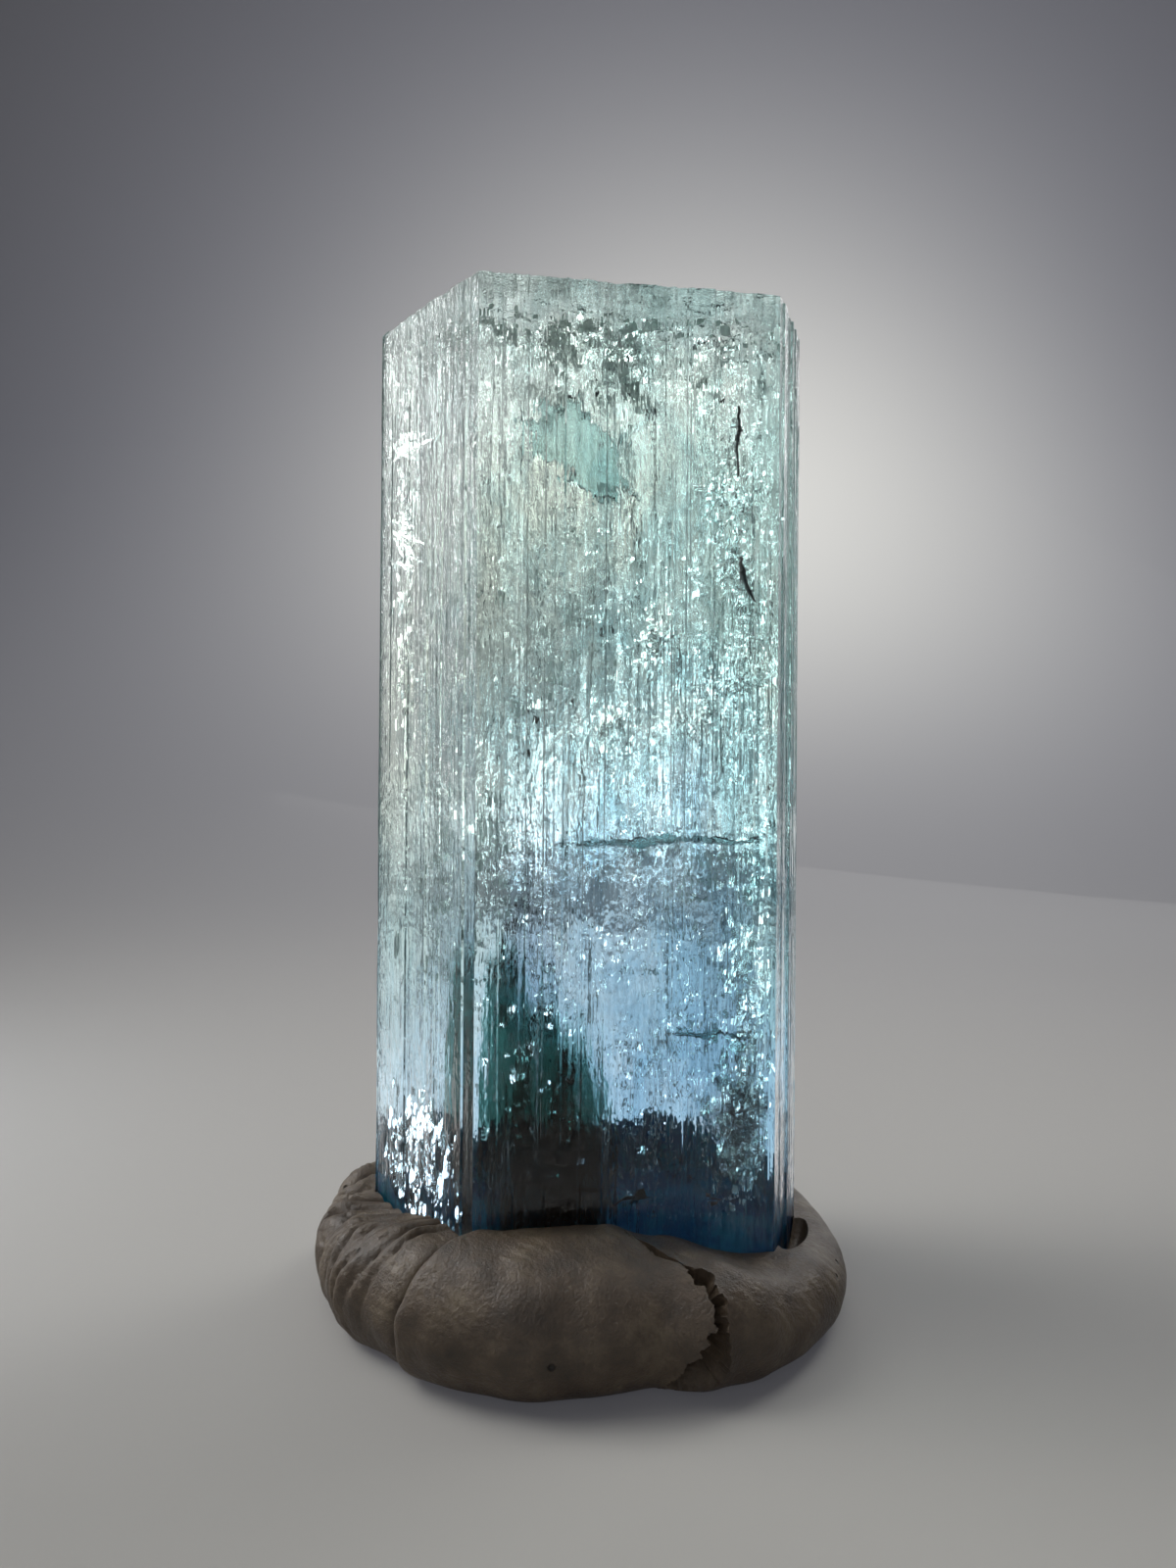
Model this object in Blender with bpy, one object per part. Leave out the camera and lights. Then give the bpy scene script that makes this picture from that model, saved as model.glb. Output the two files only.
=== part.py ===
"""An aquamarine crystal standing in a ring of kneaded mineral tack.

Metres, +Z up. The origin is the middle of the tack's flat underside. The crystal is one striated beryl
prism with a chipped, pitted top. It leans back a little, as it was pressed into the tack.
"""

import math
import random

import bmesh
import bpy
from mathutils import Matrix, Vector, noise

MM = 0.001
GAP = 0.3 * MM
COLLECTION_NAME = "aquamarine_crystal_on_tack"

# Crystal: a six-sided prism whose sides turn by 60 degrees from one to the next
SIXTH_TURN = math.radians(60.0)
FRONT_WIDTH = 9.96 * MM
RIGHT_FRONT_WIDTH = 3.42 * MM
RIGHT_BACK_WIDTH = 6.2 * MM
LEFT_FRONT_WIDTH = 6.26 * MM
FRONT_TURN = math.radians(8.8)
FRONT_LEFT_CORNER = (-3.56 * MM, -4.23 * MM)
FOOT_HEIGHT = 1.3 * MM
TOP_HEIGHT = 34.4 * MM
LEAN_BACK = math.radians(6.0)
LEAN_RIGHT = math.radians(0.44)
LEAN_PIVOT = Vector((0.69 * MM, -1.45 * MM, 4.0 * MM))

# Striations: flat strips along the prism, each set back a little from its side
STRIP_WIDTHS = (0.35 * MM, 0.95 * MM)
STRIP_DEPTH = 0.15 * MM
STRIP_CHANGE = 0.07 * MM
LEDGE_CHANCE = 0.28
STEP_WIDTH = 0.05 * MM
LEVELS = 16
STRIATION_SEED = 11

# Worn rim of the top face, with a chip at each outer corner
RIM_INSET = 0.22 * MM
RIM_WEAR = 0.1 * MM
CHIP_DEPTH = 0.16 * MM
CHIP_REACH = 2.6 * MM
CHIPPED_CORNERS = (2, 5)
WEAR_SEED = 12

# Growth pits in the top face, in millimetres: place, radius and depth
PIT_SIDES = 6
TOP_PITS = (
    (-4.1, 1.3, 0.8, 0.3), (-1.9, -0.6, 0.45, 0.2), (-1.4, 3.3, 0.6, 0.22), (0.9, 1.7, 1.0, 0.35),
    (2.6, -1.6, 0.5, 0.2), (3.4, 3.6, 0.65, 0.25), (5.3, 0.6, 0.45, 0.18), (-3.2, -2.6, 0.4, 0.16),
)

# Cracks on the front, in millimetres: across and up the side, and half width
FISSURE_DEPTH = 0.45 * MM
UPPER_FISSURE = ((8.62, 30.6, 0.04), (8.70, 29.9, 0.1), (8.58, 29.3, 0.07), (8.64, 28.3, 0.04))
LOWER_FISSURE = ((8.72, 25.6, 0.05), (8.82, 25.1, 0.13), (8.98, 24.6, 0.12), (9.24, 24.1, 0.04))

# Shell-like chips on the left front side, in millimetres: distance from its outer corner, height, radius
SHELL_CHIPS = ((0.9, 30.2, 0.6), (1.1, 27.0, 0.8), (2.4, 13.3, 0.5))
SHELL_CHIP_SIDE = 5
SHELL_CHIP_SHARE = 0.75

# Mineral tack: a fat rope pressed into a ring. Degrees round the ring, and millimetres
RING_RADII = {
    0: 9.2, 20: 9.1, 45: 8.7, 70: 8.3, 90: 7.95, 110: 8.3, 135: 9.0, 160: 9.35, 180: 9.45, 206: 9.05,
    219: 8.5, 235: 8.2, 251: 7.9, 270: 7.5, 288: 7.4, 303: 8.25, 314: 8.7, 326: 8.95, 341: 9.1,
}
CREST_HEIGHTS = {
    0: 2.2, 50: 2.7, 90: 3.4, 135: 3.2, 180: 3.0, 215: 3.8, 250: 4.2, 280: 4.1, 305: 3.6, 330: 2.7,
}
CREST_INSETS = {0: 1.3, 90: 2.1, 180: 1.4, 225: 2.2, 270: 2.9, 315: 2.0}
BULGE_SHARE = 0.45
FOOT_INSET = 1.2 * MM
MIDDLE_HEIGHT = 3.3 * MM
LUMP_HEIGHT = 0.22 * MM
LUMP_SIZE = 3.2 * MM

# The rope's lapped end: where its edge runs at the foot and at the crest, and how far it stands out
SEAM_FOOT = math.radians(225.0)
SEAM_CREST = math.radians(229.0)
SEAM_STEP = 0.42 * MM
SEAM_FADE = math.radians(11.0)

# Pressed creases across the left of the rope
CREASE_START = math.radians(150.0)
CREASE_END = math.radians(220.0)
CREASE_COUNT = 11
CREASE_HEIGHT = 0.1 * MM

# The tear on the right of the rope: degrees round, rise from foot (0) over crest (1), half width
TEAR_DEPTH = 0.8 * MM
TEAR = (
    (288.0, 1.14, 0.05), (290.5, 1.04, 0.3), (294.0, 0.98, 0.26), (297.5, 0.94, 0.07), (300.5, 0.87, 0.2),
    (301.5, 0.72, 0.12), (300.0, 0.55, 0.2), (298.0, 0.4, 0.42), (299.5, 0.25, 0.4), (302.0, 0.1, 0.06),
)

# The hollow beside the crystal's right side
HOLLOW_PLACE = (7.55 * MM, -1.1 * MM, 2.6 * MM)
HOLLOW_SIZE = (0.85 * MM, 1.9 * MM, 1.5 * MM)

# The ring's mesh: angles are closer together over the creases, the seam and the tear
FINE_SPANS = ((146.0, 234.0), (284.0, 306.0))
FINE_STEP = 1.55
PLAIN_STEP = 3.6
BASE_ROWS = 3
ROPE_ROWS = 14
DISH_ROWS = 4


def clear_scene() -> None:
    """Removes whatever the scene holds."""
    for thing in list(bpy.data.objects):
        bpy.data.objects.remove(thing, do_unlink=True)


def new_collection(name: str) -> bpy.types.Collection:
    """Returns a new collection linked to the scene."""
    collection = bpy.data.collections.new(name)
    bpy.context.scene.collection.children.link(collection)
    return collection


def new_object(name: str, form: bmesh.types.BMesh, collection: bpy.types.Collection) -> bpy.types.Object:
    """Turns a bmesh into an object of the collection, with its faces turned outward."""
    bmesh.ops.recalc_face_normals(form, faces=form.faces)
    mesh = bpy.data.meshes.new(name)
    form.to_mesh(mesh)
    form.free()
    thing = bpy.data.objects.new(name, mesh)
    collection.objects.link(thing)
    return thing


def new_cutter(name: str, form: bmesh.types.BMesh, collection: bpy.types.Collection) -> bpy.types.Object:
    """Turns a bmesh into a cutter, which is left out of the object."""
    cutter = new_object(name, form, collection)
    cutter.hide_render = True
    cutter.display_type = "WIRE"
    return cutter


def cut(solid: bpy.types.Object, cutter: bpy.types.Object, solver: str = "EXACT") -> None:
    """Cuts one solid with another by a Boolean."""
    boolean = solid.modifiers.new(f"cut by {cutter.name}", "BOOLEAN")
    boolean.operation = "DIFFERENCE"
    boolean.solver = solver
    boolean.object = cutter


def new_material(name: str, colour: tuple, roughness: float, transmission: float = 0.0) -> bpy.types.Material:
    """Returns a Principled material."""
    material = bpy.data.materials.new(name)
    material.use_nodes = True
    shader = material.node_tree.nodes["Principled BSDF"]
    shader.inputs["Base Color"].default_value = (*colour, 1.0)
    shader.inputs["Roughness"].default_value = roughness
    shader.inputs["Metallic"].default_value = 0.0
    shader.inputs["Transmission Weight"].default_value = transmission
    return material


def round_the_ring(table: dict[int, float], angle: float) -> float:
    """Reads a table of degrees and millimetres at any angle, easing from one entry to the next."""
    degrees = math.degrees(angle) % 360.0
    before = max(stop for stop in table if stop <= degrees)
    after = min((stop for stop in table if stop > degrees), default=360)
    share = (degrees - before) / (after - before)
    ease = share * share * (3.0 - 2.0 * share)
    return MM * (table[before] * (1.0 - ease) + table[after % 360] * ease)


def heading(angle: float) -> Vector:
    """Returns the level direction at an angle."""
    return Vector((math.cos(angle), math.sin(angle)))


def prism_corners(grow: float = 0.0) -> list[Vector]:
    """Returns the prism's corners, anticlockwise from the front left, with every side moved out by grow."""
    left_back_width = RIGHT_FRONT_WIDTH + RIGHT_BACK_WIDTH - LEFT_FRONT_WIDTH
    back_width = FRONT_WIDTH + RIGHT_FRONT_WIDTH - left_back_width
    corners = [Vector(FRONT_LEFT_CORNER)]
    widths = (FRONT_WIDTH, RIGHT_FRONT_WIDTH, RIGHT_BACK_WIDTH, back_width, left_back_width)
    for side, width in enumerate(widths):
        corners.append(corners[-1] + width * heading(FRONT_TURN + side * SIXTH_TURN))
    reach = grow / math.cos(SIXTH_TURN / 2)
    outward = [heading(FRONT_TURN + (index - 2) * SIXTH_TURN) for index in range(len(corners))]
    return [corner + reach * direction for corner, direction in zip(corners, outward)]


def leaning() -> Matrix:
    """Returns the matrix that leans the upright crystal into place."""
    turn = Matrix.Rotation(LEAN_RIGHT, 4, "Y") @ Matrix.Rotation(-LEAN_BACK, 4, "X")
    return Matrix.Translation(LEAN_PIVOT) @ turn @ Matrix.Translation(-LEAN_PIVOT)


def strips_across(width: float, dice: random.Random) -> list[tuple[float, float]]:
    """Splits a side of the prism into strips, each with its start and end."""
    starts = [0.0]
    while starts[-1] + STRIP_WIDTHS[1] < width:
        starts.append(starts[-1] + dice.uniform(*STRIP_WIDTHS))
    return list(zip(starts, [*starts[1:], width]))


def strip_depths(dice: random.Random) -> list[float]:
    """Returns how far one strip is set back at each level. Where that changes, the strip has a ledge."""
    depth = dice.uniform(0.0, STRIP_DEPTH)
    depths = []
    for _ in range(LEVELS):
        if dice.random() < LEDGE_CHANCE:
            depth += dice.uniform(-STRIP_CHANGE, STRIP_CHANGE)
        depths.append(min(max(depth, 0.0), STRIP_DEPTH))
    return depths


def striated_outlines() -> list[list[Vector]]:
    """Returns the upright crystal's outline at each level, from foot to top."""
    dice = random.Random(STRIATION_SEED)
    corners = prism_corners(STRIP_DEPTH / 2)
    outlines = [[] for _ in range(LEVELS)]
    for start, end in zip(corners, corners[1:] + corners[:1]):
        along = (end - start).normalized()
        inward = Vector((-along.y, along.x))
        for left, right in strips_across((end - start).length, dice):
            for outline, depth in zip(outlines, strip_depths(dice)):
                outline.append(start + along * (left + STEP_WIDTH) + inward * depth)
                outline.append(start + along * right + inward * depth)
    return outlines


def level_heights() -> list[float]:
    """Returns the upright crystal's levels, from foot to top."""
    return [FOOT_HEIGHT + (TOP_HEIGHT - FOOT_HEIGHT) * level / (LEVELS - 1) for level in range(LEVELS)]


def rim_wear(point: Vector, dice: random.Random) -> float:
    """Returns how far the top's rim is worn down at a point."""
    wear = RIM_WEAR * dice.uniform(0.1, 1.0)
    for index in CHIPPED_CORNERS:
        closeness = 1.0 - (point - prism_corners()[index]).length / CHIP_REACH
        wear += CHIP_DEPTH * max(0.0, closeness) * dice.uniform(0.6, 1.0)
    return wear


def extruded(form: bmesh.types.BMesh, face: bmesh.types.BMFace) -> bmesh.types.BMFace:
    """Extrudes a face in place, and returns the new face. The old one is gone."""
    return bmesh.ops.extrude_discrete_faces(form, faces=[face])["faces"][0]


def make_crystal(collection: bpy.types.Collection) -> bpy.types.Object:
    """Extrudes the striated outline level by level, and closes it with a worn rim round a flat top."""
    dice = random.Random(WEAR_SEED)
    outlines = striated_outlines()
    form = bmesh.new()
    face = form.faces.new([form.verts.new((*point, FOOT_HEIGHT)) for point in outlines[0]])
    for outline, height in list(zip(outlines, level_heights()))[1:]:
        face = extruded(form, face)
        for vert, point in zip(face.verts, outline):
            vert.co = (*point, height)
    for vert in face.verts:
        vert.co.z -= rim_wear(vert.co.xy, dice)
    face = extruded(form, face)
    middle = face.calc_center_median()
    for vert in face.verts:
        vert.co += RIM_INSET * (middle - vert.co).normalized()
        vert.co.z = TOP_HEIGHT
    bmesh.ops.holes_fill(form, edges=form.edges)
    bmesh.ops.triangulate(form, faces=form.faces)
    form.transform(leaning())
    return new_object("aquamarine_crystal", form, collection)


def make_pit(place: tuple, collection: bpy.types.Collection) -> bpy.types.Object:
    """Makes the cutter of one six-sided pit in the top face, a cone whose middle level lies in that face."""
    across, back, radius, depth = (MM * value for value in place)
    form = bmesh.new()
    bmesh.ops.create_cone(
        form, cap_ends=True, segments=PIT_SIDES, radius1=0.12 * radius, radius2=1.88 * radius, depth=2 * depth
    )
    form.transform(Matrix.Translation((across, back, TOP_HEIGHT)) @ Matrix.Rotation(FRONT_TURN, 4, "Z"))
    form.transform(leaning())
    return new_cutter("top_pit", form, collection)


def make_shell_chip(place: tuple, collection: bpy.types.Collection) -> bpy.types.Object:
    """Makes the cutter of one chip in the left front side, a ball that only dips into that side."""
    across, height, radius = (MM * value for value in place)
    side = heading(FRONT_TURN + SHELL_CHIP_SIDE * SIXTH_TURN)
    outward = Vector((side.y, -side.x))
    corner = prism_corners()[SHELL_CHIP_SIDE]
    middle = corner + across * side + SHELL_CHIP_SHARE * radius * outward
    form = bmesh.new()
    bmesh.ops.create_icosphere(form, subdivisions=2, radius=radius)
    form.transform(Matrix.Translation((*middle, height)) @ Matrix.Diagonal((1.0, 1.0, 1.6, 1.0)))
    form.transform(leaning())
    return new_cutter("shell_chip", form, collection)


def wedge(path: list[tuple[Vector, Vector, Vector]]) -> bmesh.types.BMesh:
    """Lofts a closed blade. Each entry is a place, the half width to a side, and the depth into the solid."""
    form = bmesh.new()
    rings = []
    for place, aside, inward in path:
        outside = place - inward / 3
        corners = (outside - aside, place - aside, place + inward, place + aside, outside + aside)
        rings.append([form.verts.new(corner) for corner in corners])
    for ring, following in zip(rings, rings[1:]):
        for index in range(len(ring)):
            after = (index + 1) % len(ring)
            form.faces.new((ring[index], ring[after], following[after], following[index]))
    form.faces.new(rings[0])
    form.faces.new(rings[-1])
    return form


def make_fissure(route: tuple, collection: bpy.types.Collection) -> bpy.types.Object:
    """Makes the cutter of one crack in the front side."""
    along = heading(FRONT_TURN).to_3d()
    inward = heading(FRONT_TURN + math.radians(90.0)).to_3d() * FISSURE_DEPTH
    start = Vector((*FRONT_LEFT_CORNER, 0.0))
    path = [
        (start + MM * across * along + Vector((0.0, 0.0, MM * up)), MM * half_width * along, inward)
        for across, up, half_width in route
    ]
    form = wedge(path)
    form.transform(leaning())
    return new_cutter("fissure", form, collection)


def creases(angle: float) -> float:
    """Returns how far the pressed creases raise the rope at an angle."""
    share = (angle - CREASE_START) / (CREASE_END - CREASE_START)
    if not 0.0 < share < 1.0:
        return 0.0
    return CREASE_HEIGHT * math.sin(math.pi * share) ** 0.5 * math.cos(2 * math.pi * CREASE_COUNT * share)


def lapped_end(angle: float, rise: float) -> float:
    """Returns how far the rope stands out beside its seam: out on the lapping side, in on the lapped one."""
    seam = SEAM_FOOT + (SEAM_CREST - SEAM_FOOT) * min(rise, 1.0)
    past = (angle - seam + math.pi) % (2 * math.pi) - math.pi
    if past >= 0.0:
        return SEAM_STEP * math.exp(-past / SEAM_FADE)
    return -0.5 * SEAM_STEP * math.exp(2 * past / SEAM_FADE)


def tack_point(angle: float, rise: float) -> Vector:
    """Returns a point of the tack's surface.

    Args:
        angle: The angle round the ring.
        rise: -1 at the middle of the underside, 0 at the foot, 1 on the crest, 2 at the middle of the top.
    """
    radius = round_the_ring(RING_RADII, angle)
    crest = round_the_ring(CREST_HEIGHTS, angle)
    inset = round_the_ring(CREST_INSETS, angle)
    widest = BULGE_SHARE * crest
    if rise <= 0.0:
        return ((radius - FOOT_INSET) * (1.0 + rise) * heading(angle)).to_3d()
    if rise < BULGE_SHARE:
        turn = math.radians(90.0) * rise / BULGE_SHARE
        reach, height = radius - FOOT_INSET + FOOT_INSET * math.sin(turn), widest * (1.0 - math.cos(turn))
    elif rise < 1.0:
        turn = math.radians(90.0) * (rise - BULGE_SHARE) / (1.0 - BULGE_SHARE)
        reach, height = radius - inset + inset * math.cos(turn), widest + (crest - widest) * math.sin(turn)
    else:
        share = rise - 1.0
        reach, height = (radius - inset) * (1.0 - share), crest + (MIDDLE_HEIGHT - crest) * share
    fade = math.sin(math.pi * min(rise, 1.999) / 2) ** 0.7
    bump = creases(angle) + lapped_end(angle, rise)
    place = (reach * heading(angle)).to_3d() + Vector((0.0, 0.0, height))
    bump += LUMP_HEIGHT * noise.noise(place / LUMP_SIZE)
    outward = (place - tack_core(angle)).normalized()
    return place + fade * bump * outward


def tack_core(angle: float) -> Vector:
    """Returns the middle of the rope at an angle."""
    radius = round_the_ring(RING_RADII, angle) - round_the_ring(CREST_INSETS, angle)
    height = BULGE_SHARE * round_the_ring(CREST_HEIGHTS, angle)
    return (radius * heading(angle)).to_3d() + Vector((0.0, 0.0, height))


def ring_angles() -> list[float]:
    """Returns the ring's angles, closer together over its finer forms."""
    degrees = [0.0]
    while degrees[-1] < 360.0:
        fine = any(start <= degrees[-1] < end for start, end in FINE_SPANS)
        degrees.append(degrees[-1] + (FINE_STEP if fine else PLAIN_STEP))
    squeeze = 2 * math.pi / degrees[-1]
    return [value * squeeze for value in degrees[:-1]]


def ring_rises() -> list[float]:
    """Returns the rows of the ring's mesh between the middle of its underside and the middle of its top."""
    base = [(row + 1) / BASE_ROWS - 1.0 for row in range(BASE_ROWS)]
    rope = [(row + 1) / ROPE_ROWS for row in range(ROPE_ROWS)]
    dish = [1.0 + (row + 1) / (DISH_ROWS + 1) for row in range(DISH_ROWS)]
    return base + rope + dish


def make_tack(collection: bpy.types.Collection) -> bpy.types.Object:
    """Moulds a sphere into the pressed ring of tack, still without the crystal's pocket."""
    angles = ring_angles()
    rises = ring_rises()
    form = bmesh.new()
    bmesh.ops.create_uvsphere(form, u_segments=len(angles), v_segments=len(rises) + 1, radius=1.0)
    for vert in form.verts:
        down = max(-1.0, min(1.0, -vert.co.z))
        row = round(math.acos(down) / math.pi * (len(rises) + 1)) - 1
        if row < 0:
            vert.co = Vector()
        elif row == len(rises):
            vert.co = Vector((0.0, 0.0, MIDDLE_HEIGHT))
        else:
            turn = math.atan2(vert.co.y, vert.co.x) / (2 * math.pi) * len(angles)
            vert.co = tack_point(angles[round(turn) % len(angles)], rises[row])
    return new_object("mineral_tack", form, collection)


def make_pocket(collection: bpy.types.Collection) -> bpy.types.Object:
    """Makes the cutter of the pocket that the crystal's foot stands in."""
    form = bmesh.new()
    outline = prism_corners(GAP + STRIP_DEPTH / 2)
    floor = form.faces.new([form.verts.new((*corner, FOOT_HEIGHT - GAP)) for corner in outline])
    face = extruded(form, floor)
    for vert in face.verts:
        vert.co.z = 3 * LEAN_PIVOT.z
    bmesh.ops.holes_fill(form, edges=form.edges)
    form.transform(leaning())
    return new_cutter("pocket", form, collection)


def make_tear(collection: bpy.types.Collection) -> bpy.types.Object:
    """Makes the cutter of the tear in the rope."""
    path = []
    for degrees, rise, half_width in TEAR:
        angle = math.radians(degrees)
        place = tack_point(angle, rise)
        inward = (tack_core(angle) - place).normalized() * TEAR_DEPTH
        aside = MM * half_width * heading(angle + math.radians(90.0)).to_3d()
        path.append((place, aside, inward))
    return new_cutter("tear", wedge(path), collection)


def make_hollow(collection: bpy.types.Collection) -> bpy.types.Object:
    """Makes the cutter of the hollow beside the crystal's right side."""
    form = bmesh.new()
    bmesh.ops.create_icosphere(form, subdivisions=2, radius=1.0)
    turn = Matrix.Rotation(FRONT_TURN + SIXTH_TURN - math.radians(90.0), 4, "Z")
    form.transform(Matrix.Translation(HOLLOW_PLACE) @ turn @ Matrix.Diagonal((*HOLLOW_SIZE, 1.0)))
    return new_cutter("hollow", form, collection)


def main() -> None:
    """Builds the crystal, the tack, and the cuts in both."""
    clear_scene()
    parts = new_collection(COLLECTION_NAME)
    cutters = new_collection("cutters")

    # The exact solver loses the whole crystal at its lower chip, so its cuts take the manifold one.
    crystal = make_crystal(parts)
    marks = [make_pit(place, cutters) for place in TOP_PITS]
    marks += [make_shell_chip(place, cutters) for place in SHELL_CHIPS]
    marks += [make_fissure(route, cutters) for route in (UPPER_FISSURE, LOWER_FISSURE)]
    for mark in marks:
        cut(crystal, mark, solver="MANIFOLD")
    crystal.data.materials.append(new_material("beryl", (0.36, 0.62, 0.68), 0.12, 0.9))

    tack = make_tack(parts)
    for cutter in (make_pocket(cutters), make_tear(cutters), make_hollow(cutters)):
        cut(tack, cutter)
    tack.data.materials.append(new_material("tack", (0.16, 0.14, 0.13), 0.55))


main()
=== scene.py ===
"""An aquamarine crystal standing in a ring of kneaded mineral tack, dressed round its CAD frame.

Metres, +Z up. The origin is the middle of the tack's flat underside. The crystal is modelled upright, in
millimetres, and is then leaned into place, so most sizes here are of the upright crystal.
"""

import logging
import math
import random
from collections.abc import Callable, Iterator, Sequence
from contextlib import contextmanager
from dataclasses import dataclass, field
from enum import Enum

import bpy
import numpy as np
from bpy.types import Material, Node, NodeSocket, NodeTree, Object
from mathutils import Euler, Matrix, Vector, noise


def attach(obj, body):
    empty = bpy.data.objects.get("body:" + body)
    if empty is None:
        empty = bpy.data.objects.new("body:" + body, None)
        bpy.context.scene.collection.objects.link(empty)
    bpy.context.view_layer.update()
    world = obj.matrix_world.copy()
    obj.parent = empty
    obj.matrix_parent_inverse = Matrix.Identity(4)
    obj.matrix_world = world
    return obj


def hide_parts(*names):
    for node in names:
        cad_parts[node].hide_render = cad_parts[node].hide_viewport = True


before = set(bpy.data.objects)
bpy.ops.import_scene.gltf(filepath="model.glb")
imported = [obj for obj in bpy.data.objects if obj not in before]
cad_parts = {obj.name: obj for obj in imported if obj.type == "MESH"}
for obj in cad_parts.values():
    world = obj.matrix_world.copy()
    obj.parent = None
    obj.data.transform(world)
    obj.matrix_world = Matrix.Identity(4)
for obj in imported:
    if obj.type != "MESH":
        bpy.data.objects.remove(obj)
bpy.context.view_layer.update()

MM = 0.001
BODY = "root"
LOG = logging.getLogger("aquamarine")


# ---------------------------------------------------------------- tools


def linear(code: str) -> tuple[float, float, float, float]:
    """Turns an sRGB hex colour to linear.

    Args:
        code: The colour as six hex digits.

    Returns:
        Red, green, blue and full alpha.
    """
    shares = [int(code[place:place + 2], 16) / 255 for place in (0, 2, 4)]
    bent = [share / 12.92 if share <= 0.04045 else ((share + 0.055) / 1.055) ** 2.4 for share in shares]
    return (*bent, 1.0)


def fill(tree: NodeTree, node: Node, values: dict) -> None:
    """Sets a node's inputs.

    Args:
        tree: The node tree.
        node: The node.
        values: What each input holds, by its name or place: a number, a colour, an output, or a node, which
            stands for its first output.
    """
    for place, value in values.items():
        if isinstance(value, Node):
            value = value.outputs[0]
        if isinstance(value, NodeSocket):
            tree.links.new(value, node.inputs[place])
        else:
            node.inputs[place].default_value = value


def add_node(
    tree: NodeTree,
    kind: str,
    values: dict | None = None,
    stops: Sequence[tuple[float, str]] = (),
    **settings: object,
) -> Node:
    """Adds a node to a tree, with its settings and its links.

    Args:
        tree: The node tree.
        kind: The node's type, without the ShaderNode that each starts with.
        values: What each input holds, as fill takes it.
        stops: A colour ramp's places, each with a hex colour.
        settings: The node's own settings.

    Returns:
        The new node.
    """
    node = tree.nodes.new("ShaderNode" + kind)
    for name, value in settings.items():
        setattr(node, name, value)
    fill(tree, node, values or {})
    for index, (place, value) in enumerate(stops):
        elements = node.color_ramp.elements
        element = elements[index] if index < 2 else elements.new(place)
        element.position = place
        element.color = linear(value)
    return node


def new_material(name: str) -> tuple[Material, NodeTree, Node]:
    """Makes a material that holds a Principled shader.

    Args:
        name: The material's name.

    Returns:
        The material, its node tree and its shader.
    """
    material = bpy.data.materials.new(name)
    material.use_nodes = True
    return material, material.node_tree, material.node_tree.nodes["Principled BSDF"]


def deselect() -> None:
    """Leaves object mode with nothing selected."""
    if bpy.context.object and bpy.context.object.mode != "OBJECT":
        bpy.ops.object.mode_set(mode="OBJECT")
    bpy.ops.object.select_all(action="DESELECT")


def take_up(thing: Object) -> None:
    """Makes one object the only one that operators act on."""
    deselect()
    thing.select_set(True)
    bpy.context.view_layer.objects.active = thing


@contextmanager
def edit_mode(choice: str = "SELECT") -> Iterator[None]:
    """Puts the active object in edit mode, and back in object mode afterwards.

    Args:
        choice: What select_all does first. With an empty one, what is selected stays so.
    """
    bpy.ops.object.mode_set(mode="EDIT")
    if choice:
        bpy.ops.mesh.select_all(action=choice)
    yield
    bpy.ops.object.mode_set(mode="OBJECT")


def raised_disc(count: int, rows: int, step: float = 1.0) -> Object:
    """Extrudes a disc straight up, row by row.

    Args:
        count: The number of points round it.
        rows: How many times it is extruded.
        step: How far each time.

    Returns:
        The round form, of radius 1.
    """
    deselect()
    bpy.ops.mesh.primitive_circle_add(vertices=count, radius=1.0, fill_type="NGON")
    with edit_mode():
        for _ in range(rows):
            bpy.ops.mesh.extrude_region_move(TRANSFORM_OT_translate={"value": (0.0, 0.0, step)})
    return bpy.context.object


def points_of(thing: Object) -> np.ndarray:
    """Returns an object's points as rows of x, y and z."""
    points = np.empty(len(thing.data.vertices) * 3)
    thing.data.vertices.foreach_get("co", points)
    return points.reshape(-1, 3)


def move_points(thing: Object, points: Sequence, unit: float = MM) -> None:
    """Puts an object's points at new places, which are in millimetres unless another unit is given."""
    thing.data.vertices.foreach_set("co", np.ascontiguousarray(np.array(points) * unit, np.float32).reshape(-1))
    thing.data.update()


def settle(thing: Object, name: str, place: Matrix = Matrix.Identity(4)) -> None:
    """Names an object, and puts its place into its mesh, with its faces turned outward.

    Args:
        thing: The object.
        name: Its name.
        place: Where it goes.
    """
    thing.name = thing.data.name = name
    thing.matrix_world = place @ thing.matrix_world
    take_up(thing)
    bpy.ops.object.transform_apply(location=True, rotation=True, scale=True)
    with edit_mode():
        bpy.ops.mesh.normals_make_consistent(inside=False)


def dress(thing: Object, material: Material, stands_for: str = "") -> None:
    """Gives a piece its one material, and fixes it to the object's body.

    Args:
        thing: The piece.
        material: Its material.
        stands_for: The CAD node it replaces, if any.
    """
    thing.data.materials.clear()
    thing.data.materials.append(material)
    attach(thing, BODY)
    if stands_for:
        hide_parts(stands_for)
    LOG.info("%s: %d faces", thing.name, len(thing.data.polygons))


def heading(angle: float) -> Vector:
    """Returns the level direction at an angle."""
    return Vector((math.cos(angle), math.sin(angle)))


def noise_at(x: float, y: float, z: float) -> float:
    """Returns smooth noise, about -1 to 1, at a place."""
    return noise.noise(Vector((x, y, z)))


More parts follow.
